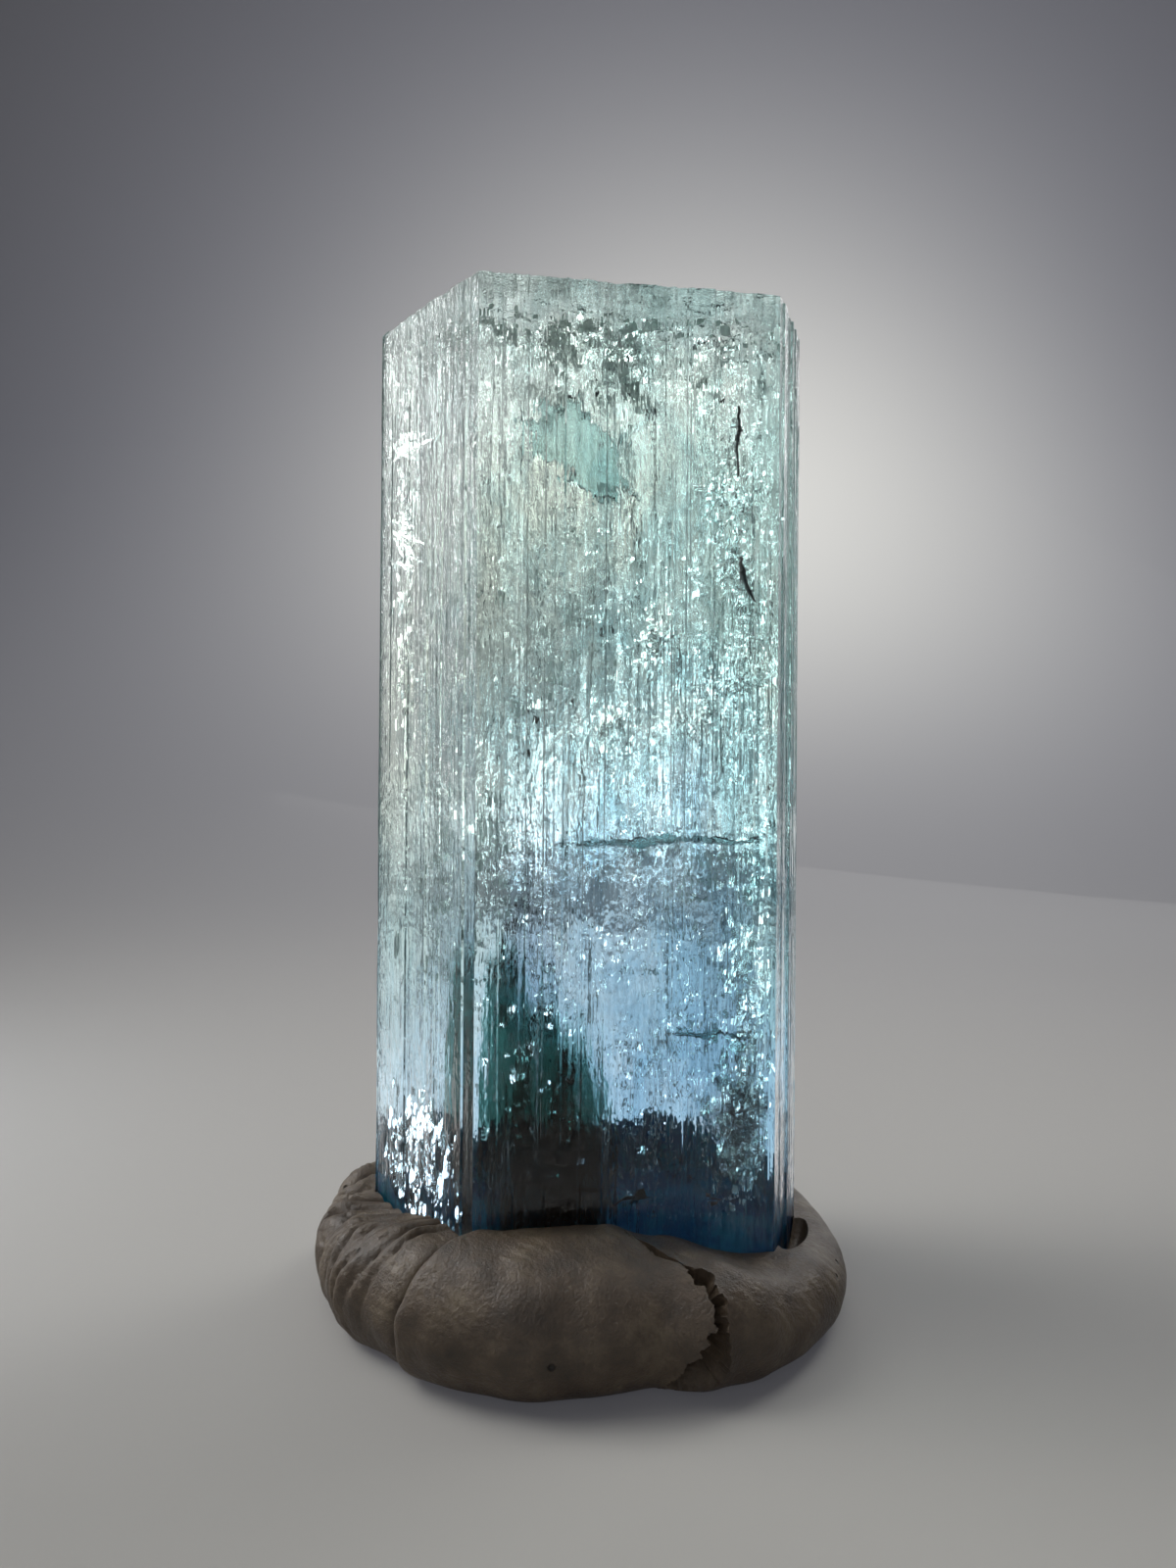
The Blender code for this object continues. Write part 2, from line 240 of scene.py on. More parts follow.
def copies(name: str, pattern: Object, places: Sequence[Matrix]) -> Object:
    """Copies a small form to many places of the leaning crystal, as one mesh, and removes the form.

    Args:
        name: The new object's name.
        pattern: The form, modelled at the origin in millimetres.
        places: Where each copy goes, in millimetres of the upright crystal.

    Returns:
        The object that holds every copy.
    """
    form = np.c_[points_of(pattern), np.ones(len(pattern.data.vertices))]
    faces = [tuple(face.vertices) for face in pattern.data.polygons]
    points = np.concatenate([form @ np.array(place).T[:, :3] for place in places])
    shifted = [tuple(index + step * len(form) for index in face) for step in range(len(places)) for face in faces]
    mesh = bpy.data.meshes.new(name)
    mesh.from_pydata(points * MM, [], shifted)
    thing = bpy.data.objects.new(name, mesh)
    bpy.context.scene.collection.objects.link(thing)
    bpy.data.objects.remove(pattern, do_unlink=True)
    settle(thing, name, PRISM.lean())
    return thing


# ---------------------------------------------------------------- the crystal's form


@dataclass(frozen=True)
class Prism:
    """The upright six-sided prism, whose sides turn by 60 degrees from one to the next, in millimetres."""

    front: float = 9.96
    right_front: float = 3.42
    right_back: float = 6.2
    left_front: float = 6.26
    front_turn: float = math.radians(8.8)
    sixth: float = math.radians(60.0)
    front_left: tuple[float, float] = (-3.56, -4.23)
    foot: float = 1.3
    top: float = 34.4
    lean_back: float = math.radians(6.0)
    lean_right: float = math.radians(0.44)
    pivot: tuple[float, float, float] = (0.69, -1.45, 4.0)

    def corners(self, grow: float = 0.0) -> list[Vector]:
        """Returns the corners, anticlockwise from the front left, with every side moved out.

        Args:
            grow: How far the sides move out.

        Returns:
            The six corners.
        """
        left_back = self.right_front + self.right_back - self.left_front
        back = self.front + self.right_front - left_back
        corners = [Vector(self.front_left)]
        for side, width in enumerate((self.front, self.right_front, self.right_back, back, left_back)):
            corners.append(corners[-1] + width * heading(self.front_turn + side * self.sixth))
        reach = grow / math.cos(self.sixth / 2)
        outward = [heading(self.front_turn + (index - 2) * self.sixth) for index in range(6)]
        return [corner + reach * direction for corner, direction in zip(corners, outward)]

    def sides(self) -> list[tuple[Vector, Vector]]:
        """Returns each side's first corner and the direction into the crystal."""
        along = [heading(self.front_turn + index * self.sixth) for index in range(6)]
        return [(corner, Vector((-side.y, side.x))) for corner, side in zip(self.corners(), along)]

    def lean(self) -> Matrix:
        """Returns the matrix that leans an upright piece, already in metres, into place."""
        pivot = Vector(self.pivot) * MM
        turn = Matrix.Rotation(self.lean_right, 4, "Y") @ Matrix.Rotation(-self.lean_back, 4, "X")
        return Matrix.Translation(pivot) @ turn @ Matrix.Translation(-pivot)

    def stand(self, thing: Object, name: str, points: Sequence) -> None:
        """Gives an upright piece its points, in millimetres, and its name, and leans it into place."""
        move_points(thing, points)
        settle(thing, name, self.lean())

    def upright_coordinates(self, tree: NodeTree) -> Node:
        """Returns the coordinates of the upright crystal for a material, in millimetres from the pivot."""
        place = add_node(tree, "TexCoord").outputs["Object"]
        values = {
            "Vector": place, "Location": Vector(self.pivot) * MM,
            "Rotation": Euler((-self.lean_back, self.lean_right, 0.0)), "Scale": (MM, MM, MM),
        }
        return add_node(tree, "Mapping", values, vector_type="TEXTURE")


PRISM = Prism()


@dataclass
class CrystalBody:
    """The striated beryl prism: strips along its sides, fine lines on the strips, and a worn, pitted top."""

    strip_widths: tuple[float, float] = (0.35, 0.95)
    strip_depth: float = 0.15
    strip_show: float = 0.4
    strip_change: float = 0.07
    ledge_chance: float = 0.28
    coarse_levels: int = 16
    strip_seed: int = 11
    line_widths: tuple[float, float] = (0.08, 0.34)
    line_step: float = 0.05
    line_depth: float = 0.018
    line_change: float = 0.012
    line_break_chance: float = 0.35
    line_seed: int = 21
    notched_side: int = 2
    notch_widths: tuple[float, float] = (0.1, 0.26)
    notch_depth: float = 0.22
    levels: int = 126
    cap_rings: int = 30
    rim_seed: int = 12
    smooth_under: float = math.radians(18.0)
    rim_inset: float = 0.2
    rim_wear: float = 0.12
    chip_depth: float = 0.2
    chip_reach: float = 2.6
    chipped_corners: tuple[int, ...] = (2, 5)
    pits: tuple[tuple[float, float, float, float], ...] = (
        (-4.1, 1.3, 0.8, 0.3), (-1.9, -0.6, 0.45, 0.2), (-1.4, 3.3, 0.6, 0.22), (0.9, 1.7, 1.0, 0.35),
        (2.6, -1.6, 0.5, 0.2), (3.4, 3.6, 0.65, 0.25), (5.3, 0.6, 0.45, 0.18), (-3.2, -2.6, 0.4, 0.16),
    )

    def strips(self) -> list[list[tuple[float, float, np.ndarray]]]:
        """Returns each side's strips as in the CAD: start, end, and depth at each coarse level."""
        dice = random.Random(self.strip_seed)
        corners = PRISM.corners(self.strip_depth / 2)
        sides = []
        for start, end in zip(corners, corners[1:] + corners[:1]):
            width = (end - start).length
            starts = [0.0]
            while starts[-1] + self.strip_widths[1] < width:
                starts.append(starts[-1] + dice.uniform(*self.strip_widths))
            walk = (dice, self.coarse_levels, self.strip_depth, self.strip_change, self.ledge_chance)
            sides.append([(left, right, self.walk(*walk)) for left, right in zip(starts, [*starts[1:], width])])
        return sides

    def walk(self, dice: random.Random, levels: int, limit: float, change: float, chance: float) -> np.ndarray:
        """Returns a strip's or a line's depth at each level, in flat runs with a ledge where it changes.

        Args:
            dice: The random draws.
            levels: The number of levels.
            limit: The greatest depth.
            change: The greatest change at a ledge.
            chance: How likely a ledge is at each level.

        Returns:
            The depths.
        """
        depth = dice.uniform(0.0, limit)
        depths = []
        for _ in range(levels):
            if dice.random() < chance:
                depth += dice.uniform(-change, change)
            depths.append(min(max(depth, 0.0), limit))
        return np.array(depths)

    def outline(self) -> np.ndarray:
        """Returns the upright outline at each level: levels, then points, then x and y."""
        dice = random.Random(self.line_seed)
        corners = PRISM.corners(self.strip_depth / 2)
        rows = np.linspace(0.0, 1.0, self.levels)
        coarse_rows = np.linspace(0.0, 1.0, self.coarse_levels)
        points, strips = [], self.strips()
        for side, (start, end) in enumerate(zip(corners, corners[1:] + corners[:1])):
            along = np.array((end - start).normalized())
            inward = np.array((-along[1], along[0]))
            if side == self.notched_side:
                points += self.notches(dice, np.array(start), along, inward, (end - start).length)
                continue
            for left, right, coarse in strips[side]:
                broad = self.strip_show * np.interp(rows, coarse_rows, coarse)
                place = left
                while place < right - 1e-6:
                    width = dice.uniform(*self.line_widths)
                    stop = right if place + width + self.line_widths[0] > right else place + width
                    depth = broad + self.fine_walk(dice)
                    for across in (place + self.line_step, stop):
                        base = np.array(start) + along * across
                        points.append(base + depth[:, None] * inward)
                    place = stop
        return np.array(points).transpose(1, 0, 2)

    def notches(
        self, dice: random.Random, start: np.ndarray, along: np.ndarray, inward: np.ndarray, width: float
    ) -> list[np.ndarray]:
        """Returns the points of a side that grew as notches, each with walls along the two neighbouring sides.

        Args:
            dice: The random draws.
            start: The side's first corner.
            along: The direction along the side.
            inward: The direction into the crystal.
            width: The side's width.

        Returns:
            One array a point, with its x and y at each level.
        """
        points, place, flat = [], self.line_step, np.zeros((self.levels, 2))
        while place < width:
            notch = dice.uniform(*self.notch_widths)
            stop = width if place + notch + self.notch_widths[0] > width else place + notch
            steepness = math.sin(PRISM.sixth) * (0.75 + 10.0 * self.fine_walk(dice))
            depth = np.minimum(steepness * (stop - place), self.notch_depth)
            points.append(start + along * place + flat)
            points.append(start + along * (place + stop) / 2 + depth[:, None] * inward)
            place = stop
        points.append(start + along * width + flat)
        return points

    def fine_walk(self, dice: random.Random) -> np.ndarray:
        """Returns one fine line's depth at each level."""
        return self.walk(dice, self.levels, self.line_depth, self.line_change, self.line_break_chance)

    def cap_relief(self, x: float, y: float) -> float:
        """Returns how far the top is sunk at a place: its growth pits, low steps and etch marks."""
        sunk = 0.03 * abs(noise.noise(Vector((x, y, 0.0)) * 0.9)) + 0.03 * abs(noise.noise(Vector((x, y, 5.0)) * 3.0))
        step = noise_at(x * 0.35, y * 0.35, 9.0)
        sunk += 0.035 * math.floor(4 * abs(step))
        for across, back, radius, depth in self.pits:
            away = Vector((x - across, y - back))
            sides = [away.dot(heading(PRISM.front_turn + index * PRISM.sixth)) for index in range(6)]
            sunk += 0.5 * depth * max(0.0, 1.0 - max(sides) / radius)
        return sunk

    def rim_drop(self, point: Vector, dice: random.Random) -> float:
        """Returns how far the top's rim is worn down at a point of the outline."""
        drop = self.rim_wear * (0.15 + abs(noise.noise(point.to_3d() * 1.3)) + 0.3 * dice.random())
        for index in self.chipped_corners:
            closeness = 1.0 - (point - PRISM.corners()[index]).length / self.chip_reach
            drop += self.chip_depth * max(0.0, closeness) * dice.uniform(0.6, 1.0)
        return drop

    def build(self) -> Object:
        """Makes the crystal. The striations are too many to select, so its points are moved by rule."""
        dice = random.Random(self.rim_seed)
        outline = self.outline()
        count = outline.shape[1]
        thing = raised_disc(count, self.levels + self.cap_rings - 2)
        raw = points_of(thing)
        turn = np.round(np.arctan2(raw[:, 1], raw[:, 0]) / (2 * math.pi) * count).astype(int) % count
        level = np.round(raw[:, 2]).astype(int)
        heights = np.linspace(PRISM.foot, PRISM.top, self.levels)
        rim = outline[-1]
        drops = np.array([self.rim_drop(Vector(point), dice) for point in rim])
        middle = rim.mean(axis=0)
        points = np.zeros_like(raw)
        for index, (place, row) in enumerate(zip(turn, level)):
            if row < self.levels:
                points[index] = (*outline[row, place], heights[row])
                if row == self.levels - 1:
                    points[index, 2] -= drops[place]
                continue
            share = (row - self.levels) / (self.cap_rings - 1)
            inset = self.rim_inset / np.linalg.norm(rim[place] - middle)
            across = middle + (rim[place] - middle) * (1.0 - inset) * (1.0 - share * 0.999)
            points[index] = (*across, PRISM.top - self.cap_relief(*across))
        PRISM.stand(thing, "aquamarine_crystal_body", points)
        bpy.ops.object.shade_smooth_by_angle(angle=self.smooth_under)
        return thing


# ---------------------------------------------------------------- the crystal's finish


@dataclass(frozen=True)
class BerylFinish:
    """Natural blue beryl with its grown, finely etched faces.

    Each grain is noise drawn out along the prism: how much of its run upward it keeps, its size in millimetres, its
    detail and its roughness. They are the fine lines, the broad lines, the etch marks and the short dashes.
    """

    ior: float = 1.577
    absorption: str = "BFE4EA"
    absorption_density: float = 35.0
    grains: tuple = ((0.03, 0.17, 0.5, 0.5), (0.1, 0.6, 2.0, 0.45), (0.55, 0.17, 1.0, 0.5), (0.16, 0.13, 1.0, 0.5))
    line_weight: float = 0.55
    dash_weight: float = 0.42
    broad_weight: float = 0.6
    etch_weight: float = 0.9
    patch_size: float = 2.6
    pale_edges: float = 7.5
    deeper_right: float = -0.018
    relief: float = 0.056

    def relief_of(self, tree: NodeTree, place: NodeSocket) -> tuple:
        """Adds the grown and etched relief.

        Args:
            tree: The material's node tree.
            place: The upright coordinates.

        Returns:
            The relief, the etched patches' share, and the short dashes, as outputs.
        """
        grains = []
        for keep, size, detail, roughness in self.grains:
            drawn = add_node(tree, "VectorMath", {0: place, 1: (1.0, 1.0, keep)}, operation="MULTIPLY")
            grains.append(add_node(tree, "TexNoise", {
                "Vector": drawn, "Scale": 1 / size, "Detail": detail, "Roughness": roughness}))
        fine, broad, etch, dash = grains
        spread = add_node(tree, "TexNoise", {"Vector": place, "Scale": 0.5, "Detail": 4.0, "Roughness": 0.6})
        etched = add_node(tree, "MapRange", {
            "Value": spread, "From Min": 0.44, "From Max": 0.62, "To Min": 0.25, "To Max": 1.0})
        marks = add_node(tree, "Math", {0: etch, 1: etched}, operation="MULTIPLY")
        relief = add_node(tree, "Math", {0: fine, 1: self.line_weight}, operation="MULTIPLY")
        for part, weight in ((dash, self.dash_weight), (broad, self.broad_weight), (marks, self.etch_weight)):
            relief = add_node(tree, "Math", {0: part, 1: weight, 2: relief}, operation="MULTIPLY_ADD")
        return relief, etched, dash

    def colour_of(self, tree: NodeTree, place: NodeSocket) -> NodeSocket:
        """Adds the colour: paler and deeper patches, pale at the top and the edges, and blue at the foot.

        Args:
            tree: The material's node tree.
            place: The upright coordinates.

        Returns:
            The colour.
        """
        parts = add_node(tree, "SeparateXYZ", {0: place})
        aside = add_node(tree, "Math", {0: parts.outputs["X"]}, operation="ABSOLUTE")
        edges = add_node(tree, "MapRange", {
            "Value": aside, "From Min": 3.0, "From Max": 6.2, "To Min": 0.0, "To Max": self.pale_edges})
        height = add_node(tree, "Math", {0: parts.outputs["Z"], 1: edges})
        wander = add_node(tree, "TexNoise", {"Vector": place, "Scale": 0.3, "Detail": 3.0})
        warped = add_node(tree, "Math", {0: wander, 1: 12.0, 2: height}, operation="MULTIPLY_ADD")
        share = add_node(tree, "MapRange", {"Value": warped, "From Min": 4.0, "From Max": 36.0})
        deep = add_node(tree, "ValToRGB", {0: share}, stops=(
            (0.0, "3E7CA8"), (1.0, "BEDAD6"), (0.16, "84B0D0"), (0.36, "94BED8"), (0.55, "A2CCD2"), (0.8, "B6D6D2")))
        pale = add_node(tree, "ValToRGB", {0: share}, stops=(
            (0.0, "7EB0CE"), (1.0, "E8F0EA"), (0.16, "BED6EA"), (0.36, "CAE0EC"), (0.55, "D4E8E6"), (0.8, "E6EEE0")))
        drawn = add_node(tree, "VectorMath", {0: place, 1: (1.0, 1.0, 0.55)}, operation="MULTIPLY")
        patch = add_node(tree, "TexNoise", {
            "Vector": drawn, "Scale": 1 / self.patch_size, "Detail": 6.0, "Roughness": 0.68,
            "Distortion": 0.6})
        sided = add_node(tree, "Math", {0: parts.outputs["X"], 1: self.deeper_right, 2: patch},
                         operation="MULTIPLY_ADD")
        pale_share = add_node(tree, "MapRange", {
            "Value": sided, "From Min": 0.4, "From Max": 0.6})
        return add_node(tree, "Mix", {
            0: pale_share, 6: deep, 7: pale}, data_type="RGBA").outputs[2]

    def make(self) -> Material:
        """Returns the material.

        Aquamarine, as grown: clear glass-like sides with silky lines along the prism and sugary etched patches,
        pale at the top and deeper blue towards the foot. They bend what is seen through into upright streaks.
        """
        material, tree, shader = new_material("natural_aquamarine_beryl")
        place = PRISM.upright_coordinates(tree)
        relief, etched, dash = self.relief_of(tree, place)
        shade = add_node(tree, "MapRange", {
            "Value": dash, "From Min": 0.36, "From Max": 0.58, "To Min": 0.78, "To Max": 1.0})
        colour = add_node(tree, "Mix", {
            0: 1.0, 6: self.colour_of(tree, place), 7: shade}, data_type="RGBA", blend_type="MULTIPLY")
        bump = add_node(tree, "Bump", {"Distance": self.relief * MM, "Height": relief})
        rough = add_node(tree, "MapRange", {
            "Value": etched, "From Min": 0.25, "From Max": 1.0, "To Min": 0.03, "To Max": 0.2})
        fill(tree, shader, {
            "Base Color": colour.outputs[2], "Roughness": rough, "Normal": bump, "IOR": self.ior,
            "Transmission Weight": 1.0})
        depth = add_node(tree, "VolumeAbsorption", {
            "Color": linear(self.absorption), "Density": self.absorption_density})
        fill(tree, tree.nodes["Material Output"], {"Volume": depth})
        return material


# ---------------------------------------------------------------- what the crystal holds


class Mark(Enum):
    """The kinds of thing that the crystal grew round."""

    GLINT = "gas_filled_flake"
    VEIL = "healed_veil_flake"
    SPECK = "dark_mineral_speck"


@dataclass(frozen=True)
class Cloud:
    """A curved sheet of small flakes in the upright crystal, in millimetres.

    Its middle, half width and half height, the turn, tilt and roll of its plane in degrees, how far its middle
    bows out, how thick it is, how many flakes it has and how large they are, and how long for their width. Flakes
    of gas lie on a few growth planes: the directions that these face and how far they lift, and the flakes' slant.
    """

    middle: tuple[float, float, float]
    half: tuple[float, float]
    turn: float
    tilt: float
    roll: float
    bow: float
    depth: float
    count: int
    sizes: tuple[float, float]
    long: float = 1.4
    aims: tuple[tuple[float, float], ...] = ((248.0, 36.0), (232.0, 16.0), (220.0, 20.0))
    slant: float = 0.0


CLOUDS: dict[Mark, tuple[Cloud, ...]] = {
    Mark.GLINT: (
        Cloud((4.6, -1.4, 25.2), (1.5, 4.2), 12.0, 4.0, 0.0, 0.5, 0.5, 2000, (0.025, 0.08), 1.3,
              ((244.0, 36.0), (220.0, 16.0))),
        Cloud((4.0, -0.9, 20.8), (2.9, 0.8), 10.0, 8.0, -44.0, 0.3, 0.4, 1500, (0.025, 0.08), 1.3,
              ((244.0, 40.0), (236.0, 12.0))),
        Cloud((5.3, -1.0, 10.4), (0.9, 4.9), 24.0, 0.0, 0.0, 0.3, 0.5, 1500, (0.03, 0.1), 1.8,
              ((220.0, 24.0), (278.0, 36.0))),
        Cloud((5.2, -1.2, 6.6), (0.9, 2.2), 24.0, 0.0, 0.0, 0.1, 0.4, 1100, (0.05, 0.15), 1.5,
              ((220.0, 28.0), (283.0, 40.0))),
        Cloud((-5.6, -1.2, 4.9), (2.0, 1.9), -51.0, 0.0, 0.0, 0.0, 0.25, 3600, (0.04, 0.14), 2.2,
              ((224.0, 20.0), (264.0, 20.0))),
        Cloud((-2.0, -1.9, 9.6), (1.7, 4.6), 8.0, 0.0, 0.0, 0.4, 0.7, 220, (0.015, 0.04), 3.6,
              ((240.0, 20.0), (332.0, 32.0))),
        Cloud((0.0, -0.6, 32.7), (6.4, 1.4), 8.0, 0.0, 0.0, 0.2, 2.4, 1100, (0.015, 0.05), 3.4,
              ((244.0, 32.0), (302.0, 40.0))),
        Cloud((1.6, -1.5, 9.6), (4.4, 5.2), 8.0, 0.0, 0.0, 0.2, 0.6, 2400, (0.015, 0.045), 2.2,
              ((240.0, 20.0), (221.0, 24.0), (332.0, 32.0))),
        Cloud((-6.3, 0.0, 25.5), (0.8, 6.6), -51.0, 0.0, 0.0, 0.0, 0.3, 420, (0.03, 0.1), 2.0,
              ((225.0, 10.0), (243.0, 27.0))),
        Cloud((-6.2, -0.4, 29.9), (0.7, 0.5), -51.0, 0.0, 0.0, 0.0, 0.2, 110, (0.03, 0.07), 9.0,
              ((222.0, 8.0), (225.0, 10.0)), 62.0),
        Cloud((-6.2, -0.4, 26.7), (0.9, 1.0), -51.0, 0.0, 0.0, 0.0, 0.2, 80, (0.03, 0.06), 10.0,
              ((222.0, 8.0), (225.0, 10.0)), 68.0),
        Cloud((0.6, -1.6, 19.9), (0.6, 0.7), 8.0, 0.0, 0.0, 0.2, 0.3, 420, (0.03, 0.08), 1.2,
              ((248.0, 44.0), (239.0, 16.0))),
        Cloud((2.2, -1.6, 22.8), (0.7, 1.1), 8.0, 0.0, 0.0, 0.2, 0.3, 420, (0.03, 0.08), 1.2,
              ((247.0, 40.0), (238.0, 14.0))),
        Cloud((0.2, -0.4, 18.0), (6.6, 15.5), 8.0, 0.0, 0.0, 0.0, 2.4, 2600, (0.02, 0.08), 1.5),
    ),
    Mark.VEIL: (
        Cloud((0.0, 0.5, 33.2), (7.0, 5.0), 8.0, 90.0, 0.0, 0.0, 0.5, 1800, (0.05, 0.16), 1.4),
        Cloud((0.0, 1.2, 32.2), (5.6, 1.6), 8.0, 10.0, 0.0, 0.3, 1.6, 150, (0.06, 0.22), 2.6),
        Cloud((-1.4, 1.4, 24.0), (2.6, 4.4), 20.0, 10.0, 10.0, 0.9, 0.7, 260, (0.05, 0.2)),
        Cloud((3.4, 1.8, 14.0), (2.6, 3.4), -12.0, 14.0, 0.0, 0.6, 0.8, 220, (0.05, 0.18)),
        Cloud((-4.2, 1.0, 14.0), (1.9, 5.0), 30.0, 0.0, 0.0, 0.5, 0.7, 200, (0.05, 0.18), 2.0),
    ),
    Mark.SPECK: (
        Cloud((-0.6, -2.0, 8.4), (0.4, 0.5), 8.0, 0.0, 0.0, 0.0, 0.2, 10, (0.05, 0.11)),
        Cloud((0.0, -0.4, 31.8), (5.6, 1.8), 8.0, 0.0, 0.0, 0.0, 1.8, 90, (0.02, 0.08), 2.4),
        Cloud((0.4, 0.0, 17.0), (5.4, 13.0), 8.0, 0.0, 0.0, 0.0, 2.6, 150, (0.02, 0.06), 2.0),
    ),
}


@dataclass
class Inclusions:
    """Everything inside the crystal: flakes, growth tubes, partings, a bowed fracture, cracks, blue zones, and dark
    zones and a dark foot skin that paint shade.
    """

    seed: int = 31
    margin: float = 0.32
    top_margin: float = 0.4
    flake_jitter: float = 0.04
    usual_share: float = 0.85
    large_flake: float = 1.7
    tube_count: int = 430
    tube_radius: tuple[float, float] = (0.01, 0.03)
    tube_length: tuple[float, float] = (0.7, 6.5)
    parting_wall: float = 0.01
    fracture_wall: float = 0.03
    partings: tuple = (((2.6, -1.2, 16.1), (3.9, 1.6), 2.0), ((4.2, -1.4, 9.6), (1.7, 1.2), -3.0))
    fissures: tuple = (
        ((8.62, 30.6, 0.04), (8.70, 29.9, 0.1), (8.58, 29.3, 0.07), (8.64, 28.3, 0.04)),
        ((8.72, 25.6, 0.05), (8.82, 25.1, 0.13), (8.98, 24.6, 0.12), (9.24, 24.1, 0.04)),
    )
    fissure_depth: float = 0.55
    fissure_rows: int = 39
    tube_spans: tuple = ((-8.0, 8.0), (-6.0, 6.0), (3.0, 33.6))
    tube_margin: float = 0.18
    zone_margin: float = 0.3
    sides: list = field(default_factory=PRISM.sides)
    skin_inset: float = 0.14
    skin_wall: float = 0.05
    skin_height: float = 1.15
    skin_back_rise: float = 3.1
    skin_points: int = 300
    skin_ragged: tuple = ((1.0, 0.5), (0.5, 2.2), (0.9, 8.0))
    # Each zone's name, middle, half size, and whether it is dark. The dark ones are painted shade: near-black
    # absorption where the tack behind darkens the view
    zones: tuple = (
        ("blue_foot", (0.6, -0.2, 2.6), (7.6, 4.6, 3.0), False),
        ("dark_core_left", (-2.8, -0.9, 7.2), (0.9, 1.9, 5.2), True),
        ("dark_core_middle", (-1.5, -0.7, 5.6), (1.2, 2.3, 5.0), True),
        ("dark_core_right", (-0.5, -0.5, 4.8), (1.2, 2.2, 4.2), True),
        ("dark_core_top", (-2.1, -1.0, 11.2), (1.0, 1.3, 2.8), False),
    )

    def inside(self, place: Vector, margin: float) -> bool:
        """Tells whether a place of the upright crystal is inside it by a margin."""
        if not PRISM.foot + margin < place.z < PRISM.top - self.top_margin - margin:
            return False
        return all((place.xy - corner).dot(inward) >= margin for corner, inward in self.sides)

    def flake(self, kind: Mark) -> Object:
        """Makes one flake, 2 mm across: a six-sided plate for gas, and an uneven pressed ball for the rest."""
        deselect()
        if kind is Mark.GLINT:
            bpy.ops.mesh.primitive_cylinder_add(
                vertices=6, radius=1.0, depth=0.3, rotation=(math.radians(90.0), 0.0, 0.0))
            bpy.ops.object.transform_apply(rotation=True)
        else:
            bpy.ops.mesh.primitive_ico_sphere_add(subdivisions=1, radius=1.0)
        thing = bpy.context.object
        thick = {Mark.GLINT: 1.0, Mark.VEIL: 0.12, Mark.SPECK: 0.6}[kind]
        with edit_mode():
            bpy.ops.transform.resize(value=(1.0, thick, 1.0))
            bpy.ops.transform.vertex_random(offset=0.0 if kind is Mark.GLINT else 0.12, seed=5)
        return thing

    def cloud_places(self, kind: Mark, cloud: Cloud, dice: random.Random) -> list[Matrix]:
        """Returns where a cloud's flakes go, denser towards its middle.

        Args:
            kind: What the flakes are. Gas-filled ones lie on their growth planes, the others near the cloud's own.
            cloud: The cloud.
            dice: The random draws.

        Returns:
            One matrix a flake, in millimetres.
        """
        plane = Euler((math.radians(cloud.tilt), 0.0, math.radians(cloud.turn))).to_matrix().to_4x4()
        plane = plane @ Matrix.Rotation(math.radians(cloud.roll), 4, "Y")
        places = []
        for _ in range(cloud.count):
            across, up = (max(-1.3, min(1.3, dice.gauss(0.0, 0.5))) for _ in range(2))
            clump = noise_at(across * 3, up * 3, cloud.middle[0])
            if clump < dice.uniform(-0.35, 0.25):
                continue
            out = -cloud.bow * (1.0 - across * across) + cloud.depth * dice.gauss(0.0, 0.4)
            spot = Vector(cloud.middle) + plane @ Vector((across * cloud.half[0], out, up * cloud.half[1]))
            if not self.inside(spot, self.margin):
                continue
            size = dice.uniform(*cloud.sizes) * (1.0 if dice.random() < self.usual_share else self.large_flake)
            if kind is Mark.GLINT:
                facing, lift = (
                    math.radians(angle) + dice.gauss(0.0, self.flake_jitter) for angle in dice.choice(cloud.aims))
                facing -= math.radians(90.0)
                slant = math.radians(cloud.slant * dice.gauss(1.0, 0.25))
                turn = Matrix.Rotation(facing, 4, "Z") @ Matrix.Rotation(lift, 4, "X") @ Matrix.Rotation(slant, 4, "Y")
            else:
                turn = plane @ Euler([dice.gauss(0.0, spread) for spread in (0.4, 0.4, 0.5)]).to_matrix().to_4x4()
            width, height = size * dice.uniform(0.5, 1.0), size * cloud.long * dice.uniform(0.7, 1.2)
            places.append(Matrix.Translation(spot) @ turn @ Matrix.Diagonal((width, size, height, 1.0)))
        return places

    def flakes(self, kind: Mark, dice: random.Random) -> Object:
        """Makes every flake of one kind as one piece."""
        places = [place for cloud in CLOUDS[kind] for place in self.cloud_places(kind, cloud, dice)]
        return copies(f"{kind.value}s", self.flake(kind), places)

    def tubes(self, dice: random.Random) -> Object:
        """Makes the growth tubes: a six-sided rod with drawn-in ends, copied along the prism."""
        deselect()
        bpy.ops.mesh.primitive_cylinder_add(vertices=6, radius=1.0, depth=1.0, end_fill_type="NGON")
        rod = bpy.context.object
        with edit_mode():
            bpy.ops.mesh.select_mode(type="FACE")
        for face in rod.data.polygons:
            face.select = abs(face.normal.z) > 0.9
        with edit_mode(""):
            bpy.ops.mesh.extrude_region_move(TRANSFORM_OT_translate={"value": (0.0, 0.0, 0.0)})
            bpy.ops.transform.resize(value=(0.25, 0.25, 1.3))
        places = []
        while len(places) < self.tube_count:
            spot = Vector([dice.uniform(*span) for span in self.tube_spans])
            length = dice.uniform(*self.tube_length) * (0.35 + 0.65 * dice.random())
            ends = [spot + Vector((0.0, 0.0, side * length * 0.7)) for side in (-1, 1)]
            if not all(self.inside(end, self.tube_margin) for end in ends):
                continue
            radius = dice.uniform(*self.tube_radius)
            turn = Euler((dice.gauss(0.0, 0.02), dice.gauss(0.0, 0.02), PRISM.front_turn)).to_matrix().to_4x4()
            places.append(Matrix.Translation(spot) @ turn @ Matrix.Diagonal((radius, radius, length, 1.0)))
        return copies("growth_tubes", rod, places)

